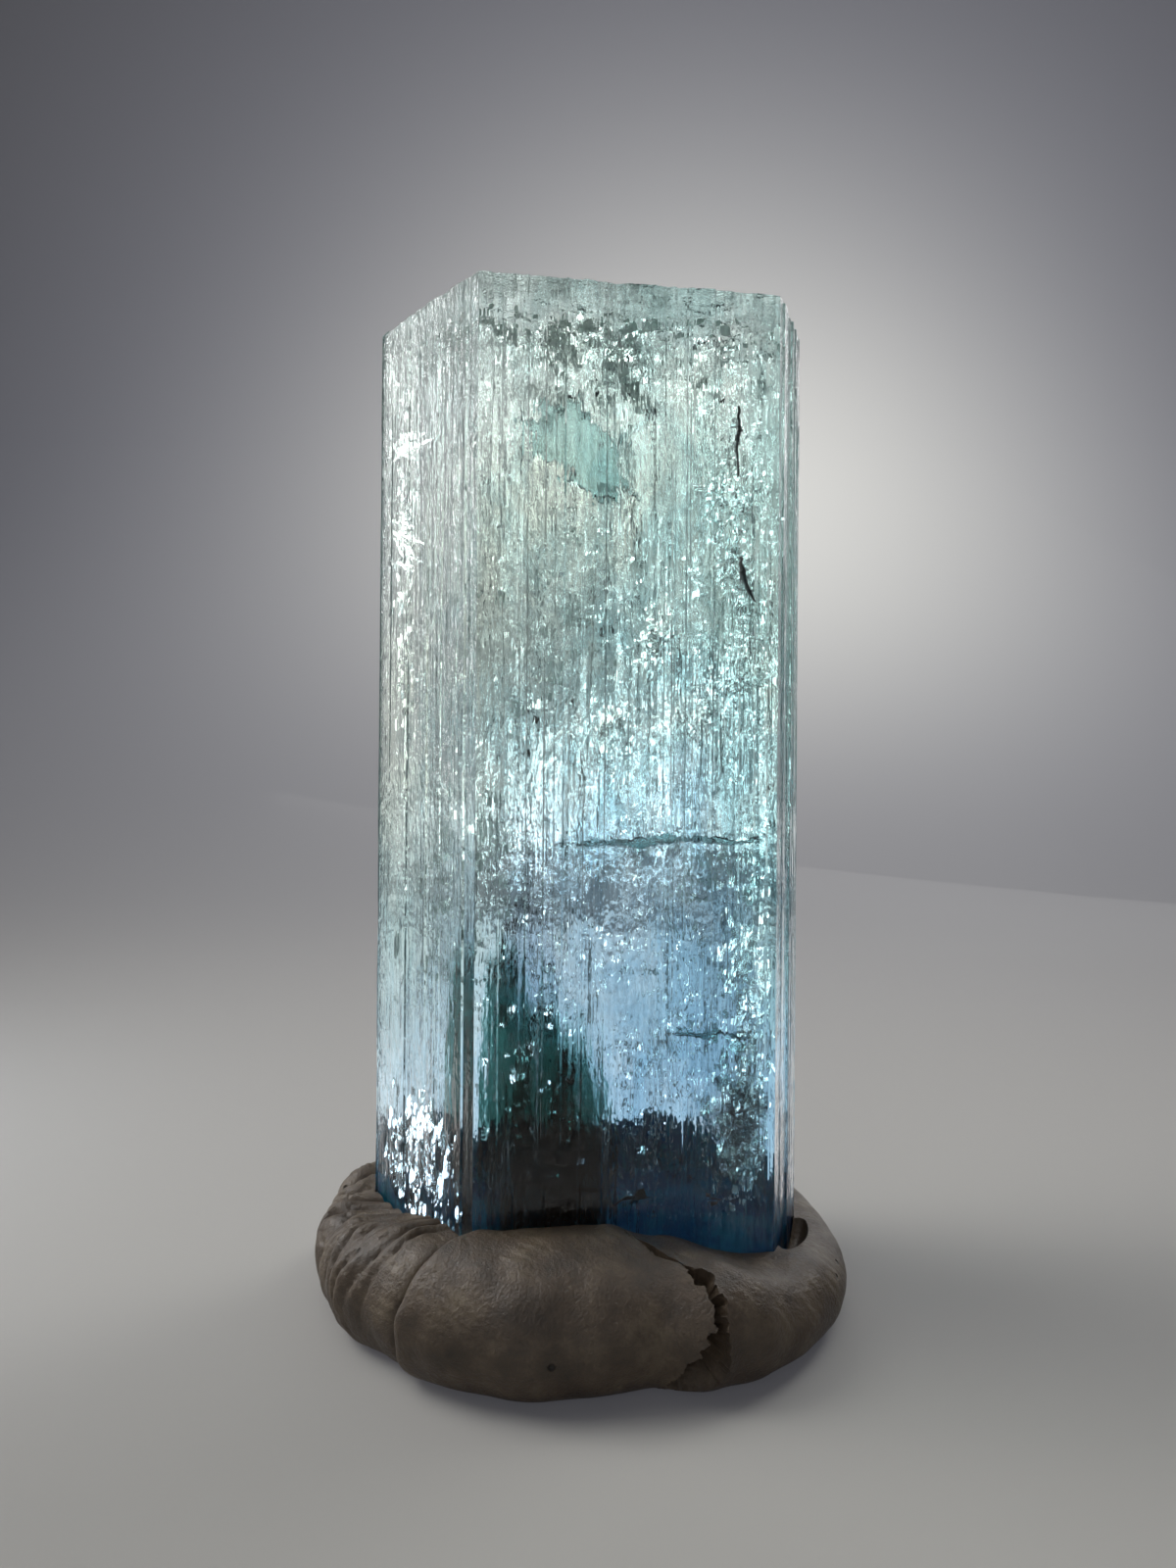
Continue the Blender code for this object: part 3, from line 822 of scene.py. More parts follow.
    def ragged_sheet(self, name: str, thick: float, shape: Callable) -> Object:
        """Makes a thin sheet with a ragged edge: a grid trimmed by rule, shaped, and given its thickness.

        Args:
            name: The sheet's name.
            thick: Its thickness in millimetres.
            shape: Turns a flat place, both shares from -1 to 1, into a place of the upright crystal.

        Returns:
            The sheet, leaned into place.
        """
        deselect()
        bpy.ops.mesh.primitive_grid_add(x_subdivisions=44, y_subdivisions=44, size=2.0)
        thing = bpy.context.object
        for face in thing.data.polygons:
            spot = face.center
            edge = 0.72 + 0.5 * noise_at(spot.x * 2.3, spot.y * 2.3, len(name))
            edge += 0.3 * noise_at(spot.x * 7.0, spot.y * 7.0, len(name))
            face.select = spot.length > edge
        for vert in thing.data.vertices:
            vert.select = False
        with edit_mode(""):
            bpy.ops.mesh.select_mode(type="FACE")
            bpy.ops.mesh.delete(type="FACE")
        move_points(thing, [shape(vert.co.x, vert.co.y) for vert in thing.data.vertices])
        take_up(thing)
        wall = thing.modifiers.new("thickness", "SOLIDIFY")
        wall.thickness = thick * MM
        bpy.ops.object.modifier_apply(modifier=wall.name)
        bpy.ops.object.shade_smooth()
        settle(thing, name, PRISM.lean())
        return thing

    def parting(self, index: int) -> Object:
        """Makes one basal parting, a nearly level crack across part of the crystal."""
        middle, half, slope = self.partings[index]

        def shape(across: float, back: float) -> tuple:
            wave = 0.3 * noise_at(across * 2.5, back * 2.5, index * 3.0)
            wave += 0.06 * noise_at(across * 9.0, back * 9.0, index * 3.0)
            x, y = middle[0] + across * half[0], middle[1] + back * half[1]
            return x, y, middle[2] + wave + across * math.tan(math.radians(slope)) * half[0]

        return self.ragged_sheet(f"parting_{index}", self.parting_wall, shape)

    def fracture(self) -> Object:
        """Makes the bowed, shell-like fracture in the upper part, rippled round its start."""

        def shape(across: float, up: float) -> tuple:
            away = math.hypot(across + 0.6, up - 0.7)
            ripple = 0.07 * math.sin(away * 17.0) + 0.25 * noise_at(across * 1.4, up * 1.4, 2.0)
            x = -0.4 + 2.4 * across
            y = -1.2 + 2.2 * (across * 0.7 + up * 0.3) ** 2 + ripple
            return x, y, 29.4 + 1.9 * up - 1.3 * across

        return self.ragged_sheet("bowed_fracture", self.fracture_wall, shape)

    def fissure(self, index: int) -> Object:
        """Makes one stained crack behind the front side: a thin blade, its edges ragged."""
        along = heading(PRISM.front_turn).to_3d()
        inward = heading(PRISM.front_turn + math.radians(90.0)).to_3d()
        start = Vector((*PRISM.front_left, 0.0)) + 0.05 * inward
        route = self.fissures[index]
        thing = raised_disc(6, self.fissure_rows)
        stops = np.linspace(0, 1, len(route))
        points = []
        for x, y, row in points_of(thing):
            share = row / self.fissure_rows
            across, up, half = (np.interp(share, stops, [stop[part] for stop in route]) for part in range(3))
            jag = 0.07 * noise_at(share * 9.0, index, 0.0)
            half *= 0.55 + 0.9 * abs(noise_at(share * 14.0, index, 4.0))
            depth = self.fissure_depth * (0.5 + 0.5 * math.sin(math.pi * share))
            place = start + along * (across + jag + half * x) + inward * depth * (0.5 + 0.5 * y)
            points.append((place.x, place.y, up))
        PRISM.stand(thing, f"stained_fissure_{index}", points)
        bpy.ops.object.shade_smooth()
        return thing

    def zone(self, name: str, middle: tuple, size: tuple) -> Object:
        """Makes one deeper blue zone, a growth zone or, when dark, painted shade: a ball stretched and made uneven,
        cut off above the foot.

        Args:
            name: The zone's name.
            middle: Its middle in millimetres.
            size: Half its width, depth and height in millimetres.

        Returns:
            The zone.
        """
        deselect()
        bpy.ops.mesh.primitive_ico_sphere_add(subdivisions=5, radius=1.0)
        thing = bpy.context.object
        points = []
        for vert in thing.data.vertices:
            way = vert.co.normalized()
            streaks = noise_at(way.x * 7, way.y * 7, len(name)) + 0.6 * noise.noise(
                Vector((way.x * 19, way.y * 19, len(name))))
            swell = 1.0 + 0.22 * noise.noise(way * 1.7 + Vector((len(name), 0, 0)))
            place = Vector([way[axis] * size[axis] * swell for axis in range(3)])
            place.z *= 1.0 + 0.7 * streaks * max(0.0, way.z)
            place += Vector(middle)
            place.z = max(place.z, PRISM.foot + self.zone_margin / 2)
            for corner, inward in self.sides:
                short = self.zone_margin - (place.xy - corner).dot(inward)
                if short > 0.0:
                    place += (inward * short).to_3d()
            points.append(place)
        PRISM.stand(thing, name, points)
        bpy.ops.object.shade_smooth()
        return thing

    def base_skin(self) -> Object:
        """Makes the dark blue skin at the foot, the blue of the beryl with the painted shade of the tack's pocket: a
        shallow tray just inside the prism, its rim uneven.
        """
        thing = raised_disc(self.skin_points, 2)
        outlines = [PRISM.corners(-inset) for inset in (self.skin_inset, self.skin_inset + self.skin_wall)]
        points = []
        for x, y, row in points_of(thing):
            turn = round(math.atan2(y, x) / (2 * math.pi) * self.skin_points) % self.skin_points
            side, share = divmod(turn * 6 / self.skin_points, 1.0)
            corners = outlines[round(row) == 2]
            corner = corners[int(side)].lerp(corners[(int(side) + 1) % 6], share)
            back = min(1.0, max(0.0, (corner.y + 2.0) / 5.0))
            uneven = sum(reach * noise.noise(corner.to_3d() * often) for reach, often in self.skin_ragged)
            rim = self.skin_height + back * (self.skin_back_rise + 0.8 * uneven)
            points.append((*corner, PRISM.foot + (0.1, rim, 0.2 + 2.4 * back)[round(row)]))
        PRISM.stand(thing, "dark_blue_foot_skin_painted_shade", points)
        return thing

    def build(self) -> None:
        """Makes and dresses every inclusion."""
        dice = random.Random(self.seed)
        finishes = {Mark.GLINT: GAS_FILM.make(), Mark.VEIL: DROPLET_VEIL.make(), Mark.SPECK: STAIN.make()}
        for kind in Mark:
            dress(self.flakes(kind, dice), finishes[kind])
        dress(self.tubes(dice), finishes[Mark.GLINT])
        film = OPEN_CRACK.make()
        for index in range(len(self.partings)):
            dress(self.parting(index), film)
        dress(self.fracture(), film)
        for index in range(len(self.fissures)):
            dress(self.fissure(index), finishes[Mark.SPECK])
        dress(self.base_skin(), BLUE_FOOT_SHADE.make())
        # The dark zones' near-black absorption is painted shade
        blue, dark = BlueZoneFinish().make(), BlueZoneFinish("dark_beryl_painted_shade", "18A498", 1150.0).make()
        for name, middle, size, paints_shade in self.zones:
            dress(self.zone(name, middle, size), dark if paints_shade else blue)


@dataclass(frozen=True)
class FilmFinish:
    """A thin clear film inside the beryl: its tint, how fine its mottling is, and what it does with light."""

    name: str
    tint: str
    often: float
    detail: float
    rough: tuple[float, float]
    clear: float = 1.0
    ior: float = 1.33
    mirror: float = 0.0
    ripple: float = 0.0

    def make(self) -> Material:
        """Returns the material: clear, tinted, smoother and duller by patches, and rippled if it has ripples."""
        material, tree, shader = new_material(self.name)
        source = add_node(tree, "TexCoord").outputs["Object"]
        cloud = add_node(tree, "TexNoise", {"Vector": source, "Scale": self.often / MM, "Detail": self.detail})
        rough = add_node(tree, "MapRange", {"Value": cloud, "To Min": self.rough[0], "To Max": self.rough[1]})
        fill(tree, shader, {
            "Base Color": linear(self.tint), "Roughness": rough, "Transmission Weight": self.clear, "IOR": self.ior,
            "Metallic": self.mirror})
        if self.ripple:
            fill(tree, shader, {"Normal": add_node(tree, "Bump", {"Distance": self.ripple * MM, "Height": cloud})})
        return material


@dataclass(frozen=True)
class MottledFinish:
    """An opaque skin inside the beryl: its two tones and where they start, its relief and its shine."""

    name: str
    stops: tuple[tuple[float, str], tuple[float, str]]
    often: float
    detail: float
    relief: float
    rough: float

    def make(self) -> Material:
        """Returns the material: one tone runs into the other by patches, and the surface swells with them."""
        material, tree, shader = new_material(self.name)
        source = add_node(tree, "TexCoord").outputs["Object"]
        cloud = add_node(tree, "TexNoise", {"Vector": source, "Scale": self.often / MM, "Detail": self.detail})
        fill(tree, shader, {
            "Base Color": add_node(tree, "ValToRGB", {0: cloud}, stops=self.stops), "Roughness": self.rough,
            "Normal": add_node(tree, "Bump", {"Distance": self.relief * MM, "Height": cloud})})
        return material


# Gas in a hollow of the beryl: a full mirror to light that comes in aslant and a window to the rest, so it
# both flashes and lets light past
GAS_FILM = FilmFinish("gas_filled_hollow_in_beryl", "FBFEFE", 6.0, 2.0, (0.0, 0.12), ior=1.2, mirror=0.6)
# A healed fracture's skin of fluid droplets: milky, lets half the light on and scatters it
DROPLET_VEIL = FilmFinish("fluid_droplet_veil", "EEF5F2", 4.0, 3.0, (0.3, 0.6), clear=0.6)
# A thin open crack: clear and rippled, and flashes white where it lies aslant
OPEN_CRACK = FilmFinish("open_crack_film", "D6ECEC", 2.4, 4.0, (0.02, 0.2), ripple=0.12)
# Iron and manganese stain, and specks of dark mica: near black, with rusty brown patches and a dull shine
STAIN = MottledFinish("iron_stain_and_mica", ((0.45, "12181A"), (0.7, "3A352A")), 3.0, 4.0, 0.02, 0.35)
# The crystal's etched foot, where the blue beryl meets the tack: deep blue to teal, its darkness painted shade of the
# tack's pocket, with a soft shine
BLUE_FOOT_SHADE = MottledFinish("blue_beryl_foot_painted_shade", ((0.4, "0F5A80"), (0.68, "2C96A4")), 0.9, 5.0, 0.06, 0.3)


@dataclass(frozen=True)
class BlueZoneFinish:
    """Beryl with more iron in it, which colours it deeper blue, or, made near black, paints the shade low in the
    crystal.
    """

    name: str = "iron_rich_blue_beryl"
    tint: str = "2C7CBC"
    density: float = 110.0

    def make(self) -> Material:
        """Returns the material: the same beryl, so its edge bends nothing and only its depth colours."""
        material, tree, shader = new_material(self.name)
        fill(tree, shader, {"Base Color": linear("FFFFFF"), "Roughness": 0.0, "IOR": 1.0, "Transmission Weight": 1.0})
        depth = add_node(tree, "VolumeAbsorption", {"Color": linear(self.tint), "Density": self.density})
        fill(tree, tree.nodes["Material Output"], {"Volume": depth})
        return material


# ---------------------------------------------------------------- the tack


@dataclass
class TackRing:
    """The rope of mineral tack kneaded into a ring: lapped end, creases, a tear, and the crystal's pocket."""

    tear_span: tuple[float, float] = (283.0, 307.0)
    radii: dict = field(default_factory=lambda: {
        0: 9.2, 20: 9.1, 45: 8.7, 70: 8.3, 90: 7.95, 110: 8.3, 135: 9.0, 160: 9.35, 180: 9.45, 206: 9.05,
        219: 8.5, 235: 8.2, 251: 7.9, 270: 7.5, 288: 7.4, 303: 8.25, 314: 8.7, 326: 8.95, 341: 9.1})
    crests: dict = field(default_factory=lambda: {
        0: 2.2, 50: 2.7, 90: 3.4, 135: 3.2, 180: 3.0, 215: 3.8, 250: 4.2, 280: 4.1, 305: 3.6, 330: 2.7})
    insets: dict = field(default_factory=lambda: {0: 1.3, 90: 2.1, 180: 1.4, 225: 2.2, 270: 2.9, 315: 2.0})
    bulge: float = 0.45
    foot_inset: float = 1.2
    middle_height: float = 3.3
    lump_height: float = 0.22
    lump_size: float = 3.2
    seam_foot: float = math.radians(225.0)
    seam_crest: float = math.radians(229.0)
    seam_step: float = 0.42
    seam_fade: float = math.radians(11.0)
    crease_start: float = math.radians(150.0)
    crease_end: float = math.radians(220.0)
    crease_count: int = 13
    crease_height: float = 0.25
    tear_depth: float = 1.1
    tear: tuple = (
        (288.0, 1.14, 0.03), (289.0, 1.10, 0.15), (290.2, 1.06, 0.04), (291.2, 1.03, 0.05), (293.0, 1.0, 0.22),
        (295.0, 0.965, 0.25), (296.5, 0.95, 0.09), (298.5, 0.93, 0.03), (300.3, 0.89, 0.09), (301.3, 0.85, 0.34),
        (301.6, 0.79, 0.13), (301.8, 0.73, 0.26), (301.0, 0.64, 0.12), (300.2, 0.55, 0.27), (299.0, 0.46, 0.36),
        (297.5, 0.36, 0.5), (296.0, 0.28, 0.55), (293.5, 0.2, 0.36), (291.0, 0.12, 0.12))
    hollow_place: tuple = (7.3, -1.1, 3.0)
    hollow_size: tuple = (0.5, 1.7, 1.5)
    fine_spans: tuple = ((146.0, 234.0, 0.55), (284.0, 306.0, 0.28))
    plain_step: float = 1.1
    smooth_under: float = math.radians(50.0)
    pocket_gap: float = 0.06
    pocket_drop: float = 0.05
    pocket_height: float = 12.0
    base_rows: int = 5
    rope_rows: int = 84
    dish_rows: int = 16

    def at(self, table: dict, angle: float) -> float:
        """Reads a table of degrees and millimetres at any angle, easing from one entry to the next."""
        degrees = math.degrees(angle) % 360.0
        before = max(stop for stop in table if stop <= degrees)
        after = min((stop for stop in table if stop > degrees), default=360)
        share = (degrees - before) / (after - before)
        ease = share * share * (3.0 - 2.0 * share)
        return table[before] * (1.0 - ease) + table[after % 360] * ease

    def core(self, angle: float) -> Vector:
        """Returns the middle of the rope at an angle."""
        radius = self.at(self.radii, angle) - self.at(self.insets, angle)
        return (radius * heading(angle)).to_3d() + Vector((0.0, 0.0, self.bulge * self.at(self.crests, angle)))

    def creases(self, angle: float, rise: float) -> float:
        """Returns how far the pressed creases raise the rope: broad folds, and finer wrinkles across them."""
        share = (angle - self.crease_start) / (self.crease_end - self.crease_start)
        if not 0.0 < share < 1.0:
            return 0.0
        fade = math.sin(math.pi * share) ** 0.5 * (0.35 + 0.65 * math.exp(-((rise - 0.85) / 0.35) ** 2))
        wander = 1.1 * noise_at(share * 5.0, rise * 2.4, 3.0) + 0.35 * noise.noise(
            Vector((share * 14.0, rise * 5.0, 5.0)))
        turn = math.pi * (self.crease_count * share + wander)
        height = self.crease_height * (0.75 + 1.1 * noise_at(share * 7.0, rise * 3.0, 11.0))
        fine = abs(noise_at(share * 40.0, rise * 3.2, 7.0))
        return fade * (height * (2.0 * abs(math.cos(turn)) ** 0.6 - 1.0) - 0.09 * max(0.0, 0.16 - fine) / 0.16)

    def lapped_end(self, angle: float, rise: float) -> float:
        """Returns how far the rope stands out beside its seam: out on the lapping side, in on the lapped one."""
        seam = self.seam_foot + (self.seam_crest - self.seam_foot) * min(rise, 1.0)
        seam += 0.018 * noise_at(rise * 5.0, 0.0, 1.0)
        past = (angle - seam + math.pi) % (2 * math.pi) - math.pi
        groove = -0.6 * math.exp(-abs(past) / 0.015)
        if past >= 0.0:
            return self.seam_step * math.exp(-past / self.seam_fade) + groove
        return -0.5 * self.seam_step * math.exp(2 * past / self.seam_fade) + groove

    def torn(self, angle: float, rise: float) -> float:
        """Returns how deep the tear is at a place, with its ragged edge, and its lips a little raised."""
        degrees = math.degrees(angle)
        if not self.tear_span[0] < degrees < self.tear_span[1]:
            return 0.0
        spot = Vector((math.radians(degrees) * 8.0, rise * 6.5))
        for reach, often in ((0.14, 3.0), (0.07, 8.0)):
            spot += reach * Vector([noise.noise(Vector((*spot, side)) * often) for side in (0.0, 9.0)])
        nearest = 9.0
        for (a0, r0, w0), (a1, r1, w1) in zip(self.tear, self.tear[1:]):
            start = Vector((math.radians(a0) * 8.0, r0 * 6.5))
            end = Vector((math.radians(a1) * 8.0, r1 * 6.5))
            share = min(1.0, max(0.0, (spot - start).dot(end - start) / (end - start).length_squared))
            width = w0 + (w1 - w0) * share
            nearest = min(nearest, (spot - start.lerp(end, share)).length - width)
        if nearest > 0.0:
            return -0.05 * math.exp(-nearest / 0.15)
        return self.tear_depth * min(1.0, -nearest / 0.1) ** 0.6

    def skin(self, place: Vector) -> float:
        """Returns the kneaded skin's small relief at a place: soft dents and sparse pinholes."""
        dents = 0.05 * noise.noise(place / 0.9) + 0.02 * noise.noise(place / 0.35)
        pin = noise.cell_vector(place / 1.1)
        hole = (place / 1.1 - Vector(map(math.floor, place / 1.1)) - 0.5 * pin - Vector((0.25, 0.25, 0.25))).length
        return dents - (0.06 * max(0.0, 1.0 - hole / 0.09) if pin.x > 0.35 else 0.0)

    def point(self, angle: float, rise: float) -> Vector:
        """Returns a point of the tack's surface, in millimetres.

        Args:
            angle: The angle round the ring.
            rise: -1 at the middle of the underside, 0 at the foot, 1 on the crest, 2 at the middle of the top.

        Returns:
            The point.
        """
        radius, crest, inset = (self.at(table, angle) for table in (self.radii, self.crests, self.insets))
        widest = self.bulge * crest
        if rise <= 0.0:
            return ((radius - self.foot_inset) * (1.0 + rise) * heading(angle)).to_3d()
        if rise < self.bulge:
            turn = math.pi / 2 * rise / self.bulge
            reach, height = radius - self.foot_inset * (1.0 - math.sin(turn)), widest * (1.0 - math.cos(turn))
        elif rise < 1.0:
            turn = math.pi / 2 * (rise - self.bulge) / (1.0 - self.bulge)
            reach, height = radius - inset * (1.0 - math.cos(turn)), widest + (crest - widest) * math.sin(turn)
        else:
            share = rise - 1.0
            reach, height = (radius - inset) * (1.0 - share), crest + (self.middle_height - crest) * share
        place = (reach * heading(angle)).to_3d() + Vector((0.0, 0.0, height))
        fade = math.sin(math.pi * min(rise, 1.999) / 2) ** 0.7
        bump = self.creases(angle, rise) + self.lapped_end(angle, rise)
        bump += self.lump_height * noise.noise(place * MM / (self.lump_size * MM)) + self.skin(place)
        outward = (place - self.core(angle)).normalized()
        place += (fade * bump - self.torn(angle, rise)) * outward
        place.z = max(place.z, 0.0)
        return place

    def angles(self) -> list[float]:
        """Returns the ring's angles, closer together over its finer forms."""
        degrees = [0.0]
        while degrees[-1] < 360.0:
            steps = [step for start, end, step in self.fine_spans if start <= degrees[-1] < end]
            degrees.append(degrees[-1] + (steps[0] if steps else self.plain_step))
        return [value * 2 * math.pi / degrees[-1] for value in degrees[:-1]]

    def rises(self) -> list[float]:
        """Returns the rows between the middle of the underside and the middle of the top."""
        base = [(row + 1) / self.base_rows - 1.0 for row in range(self.base_rows)]
        rope = [(row + 1) / self.rope_rows for row in range(self.rope_rows)]
        return base + rope + [1.0 + (row + 1) / (self.dish_rows + 1) for row in range(self.dish_rows)]

    def build(self) -> Object:
        """Makes the ring. A kneaded skin has no flat faces to extrude, so a ball's points are pressed by rule."""
        angles, rises = self.angles(), self.rises()
        deselect()
        bpy.ops.mesh.primitive_uv_sphere_add(segments=len(angles), ring_count=len(rises) + 1, radius=1.0)
        thing = bpy.context.object
        raw = points_of(thing)
        rows = np.round(np.arccos(np.clip(-raw[:, 2], -1, 1)) / math.pi * (len(rises) + 1)).astype(int) - 1
        turns = np.round(np.arctan2(raw[:, 1], raw[:, 0]) / (2 * math.pi) * len(angles)).astype(int) % len(angles)
        points = np.zeros_like(raw)
        for index, (row, turn) in enumerate(zip(rows, turns)):
            if row == len(rises):
                points[index] = (0.0, 0.0, self.middle_height)
            elif row >= 0:
                points[index] = self.point(angles[turn], rises[row])
        move_points(thing, points)
        settle(thing, "mineral_tack_ring")
        for cutter in (self.pocket(), self.hollow()):
            self.cut(thing, cutter)
        take_up(thing)
        bpy.ops.object.shade_smooth_by_angle(angle=self.smooth_under)
        return thing

    def cut(self, thing: Object, cutter: Object) -> None:
        """Cuts one form out of another, and removes the cutter."""
        take_up(thing)
        boolean = thing.modifiers.new("cut", "BOOLEAN")
        boolean.operation, boolean.solver, boolean.object = "DIFFERENCE", "EXACT", cutter
        bpy.ops.object.modifier_apply(modifier=boolean.name)
        bpy.data.objects.remove(cutter, do_unlink=True)

    def pocket(self) -> Object:
        """Makes the form of the crystal's foot: a six-sided disc, its corners drawn to place and extruded up."""
        thing = raised_disc(6, 1, self.pocket_height)
        raw = points_of(thing)
        corners = PRISM.corners(self.pocket_gap)
        # The circle's corners lie half way between sixths of a turn, so they are counted by rounding down
        turns = np.floor(np.arctan2(raw[:, 1], raw[:, 0]) / (2 * math.pi) * 6).astype(int) % 6
        points = [(*corners[turn], PRISM.foot - self.pocket_drop + height) for turn, height in zip(turns, raw[:, 2])]
        PRISM.stand(thing, "pocket", points)
        return thing

    def hollow(self) -> Object:
        """Makes the form of the hollow beside the crystal's right side, a flattened ball."""
        deselect()
        bpy.ops.mesh.primitive_ico_sphere_add(subdivisions=4, radius=1.0)
        thing = bpy.context.object
        turn = Matrix.Rotation(PRISM.front_turn + PRISM.sixth - math.radians(90.0), 4, "Z")
        place = Matrix.Translation(Vector(self.hollow_place) * MM)
        settle(thing, "hollow", place @ turn @ Matrix.Diagonal((*(MM * size for size in self.hollow_size), 1.0)))
        return thing


@dataclass(frozen=True)
class TackFinish:
    """Mineral tack: a synthetic putty, kneaded by hand."""

    shade: str = "32291F"
    lit: str = "473B2E"
    dust: str = "665A48"
    pinhole_shade: str = "191511"
    pinhole_spacing: float = 1.3
    ridge_spacing: float = 0.5
    grain_size: float = 0.12
    relief: float = 0.04

    def make(self) -> Material:
        """Returns the material.

        Taupe putty, pressed with the fingers: satin skin with faint finger ridges, fine grain, grey bloom, and
        pinholes painted near black as shade.
        """
        material, tree, shader = new_material("kneaded_taupe_mineral_tack")
        source = add_node(tree, "TexCoord").outputs["Object"]
        place = add_node(tree, "Mapping", {"Vector": source, "Scale": (1 / MM, 1 / MM, 1 / MM)})
        grain = add_node(tree, "TexNoise", {
            "Vector": place, "Scale": 1 / self.grain_size, "Detail": 4.0, "Roughness": 0.6})
        cloud = add_node(tree, "TexNoise", {"Vector": place, "Scale": 0.8, "Detail": 6.0, "Roughness": 0.62})
        ridges = add_node(tree, "TexWave", {
            "Vector": place, "Scale": 0.5 / self.ridge_spacing, "Distortion": 7.0, "Detail": 2.0, "Detail Scale": 0.6,
            "Detail Roughness": 0.5}, bands_direction="DIAGONAL")
        pressed = add_node(tree, "MapRange", {
            "Value": cloud, "From Min": 0.48, "From Max": 0.66, "To Min": 0.0, "To Max": 0.6})
        finger = add_node(tree, "Math", {0: ridges.outputs[1], 1: pressed}, operation="MULTIPLY")
        skin = add_node(tree, "Math", {0: grain, 1: 1.1, 2: finger},
                        operation="MULTIPLY_ADD")
        cells = add_node(tree, "TexVoronoi", {"Vector": place, "Scale": 1 / self.pinhole_spacing})
        hole = add_node(tree, "MapRange", {
            "Value": cells.outputs["Distance"], "From Min": 0.04, "From Max": 0.1})
        height = add_node(tree, "Math", {0: hole, 1: 3.0, 2: skin},
                          operation="MULTIPLY_ADD")
        bump = add_node(tree, "Bump", {
            "Distance": self.relief * MM, "Height": height})
        tone = add_node(tree, "Math", {0: grain, 1: 0.3, 2: cloud},
                        operation="MULTIPLY_ADD")
        tint = add_node(tree, "ValToRGB", {0: tone}, stops=(
            (0.45, self.shade), (0.95, self.dust), (0.66, self.lit)))
        # Near black at the pinholes' middles: painted shade in the holes
        colour = add_node(tree, "Mix", {
            0: hole, 6: linear(self.pinhole_shade), 7: tint}, data_type="RGBA")
        rough = add_node(tree, "MapRange", {
            "Value": grain, "From Min": 0.3, "From Max": 0.7, "To Min": 0.38, "To Max": 0.6})
        fill(tree, shader, {"Base Color": colour.outputs[2], "Roughness": rough, "Normal": bump})
        return material


# ---------------------------------------------------------------- the studio


@dataclass(frozen=True)
class Lamp:
    """A soft rectangular lamp that faces a place, in millimetres. It shines beside a lit paper of about 0.8."""

    name: str
    place: tuple[float, float, float]
    size: tuple[float, float]
    shine: float
    spread: float = 60.0
    aim: tuple[float, float, float] = (0.0, 0.0, 17.0)


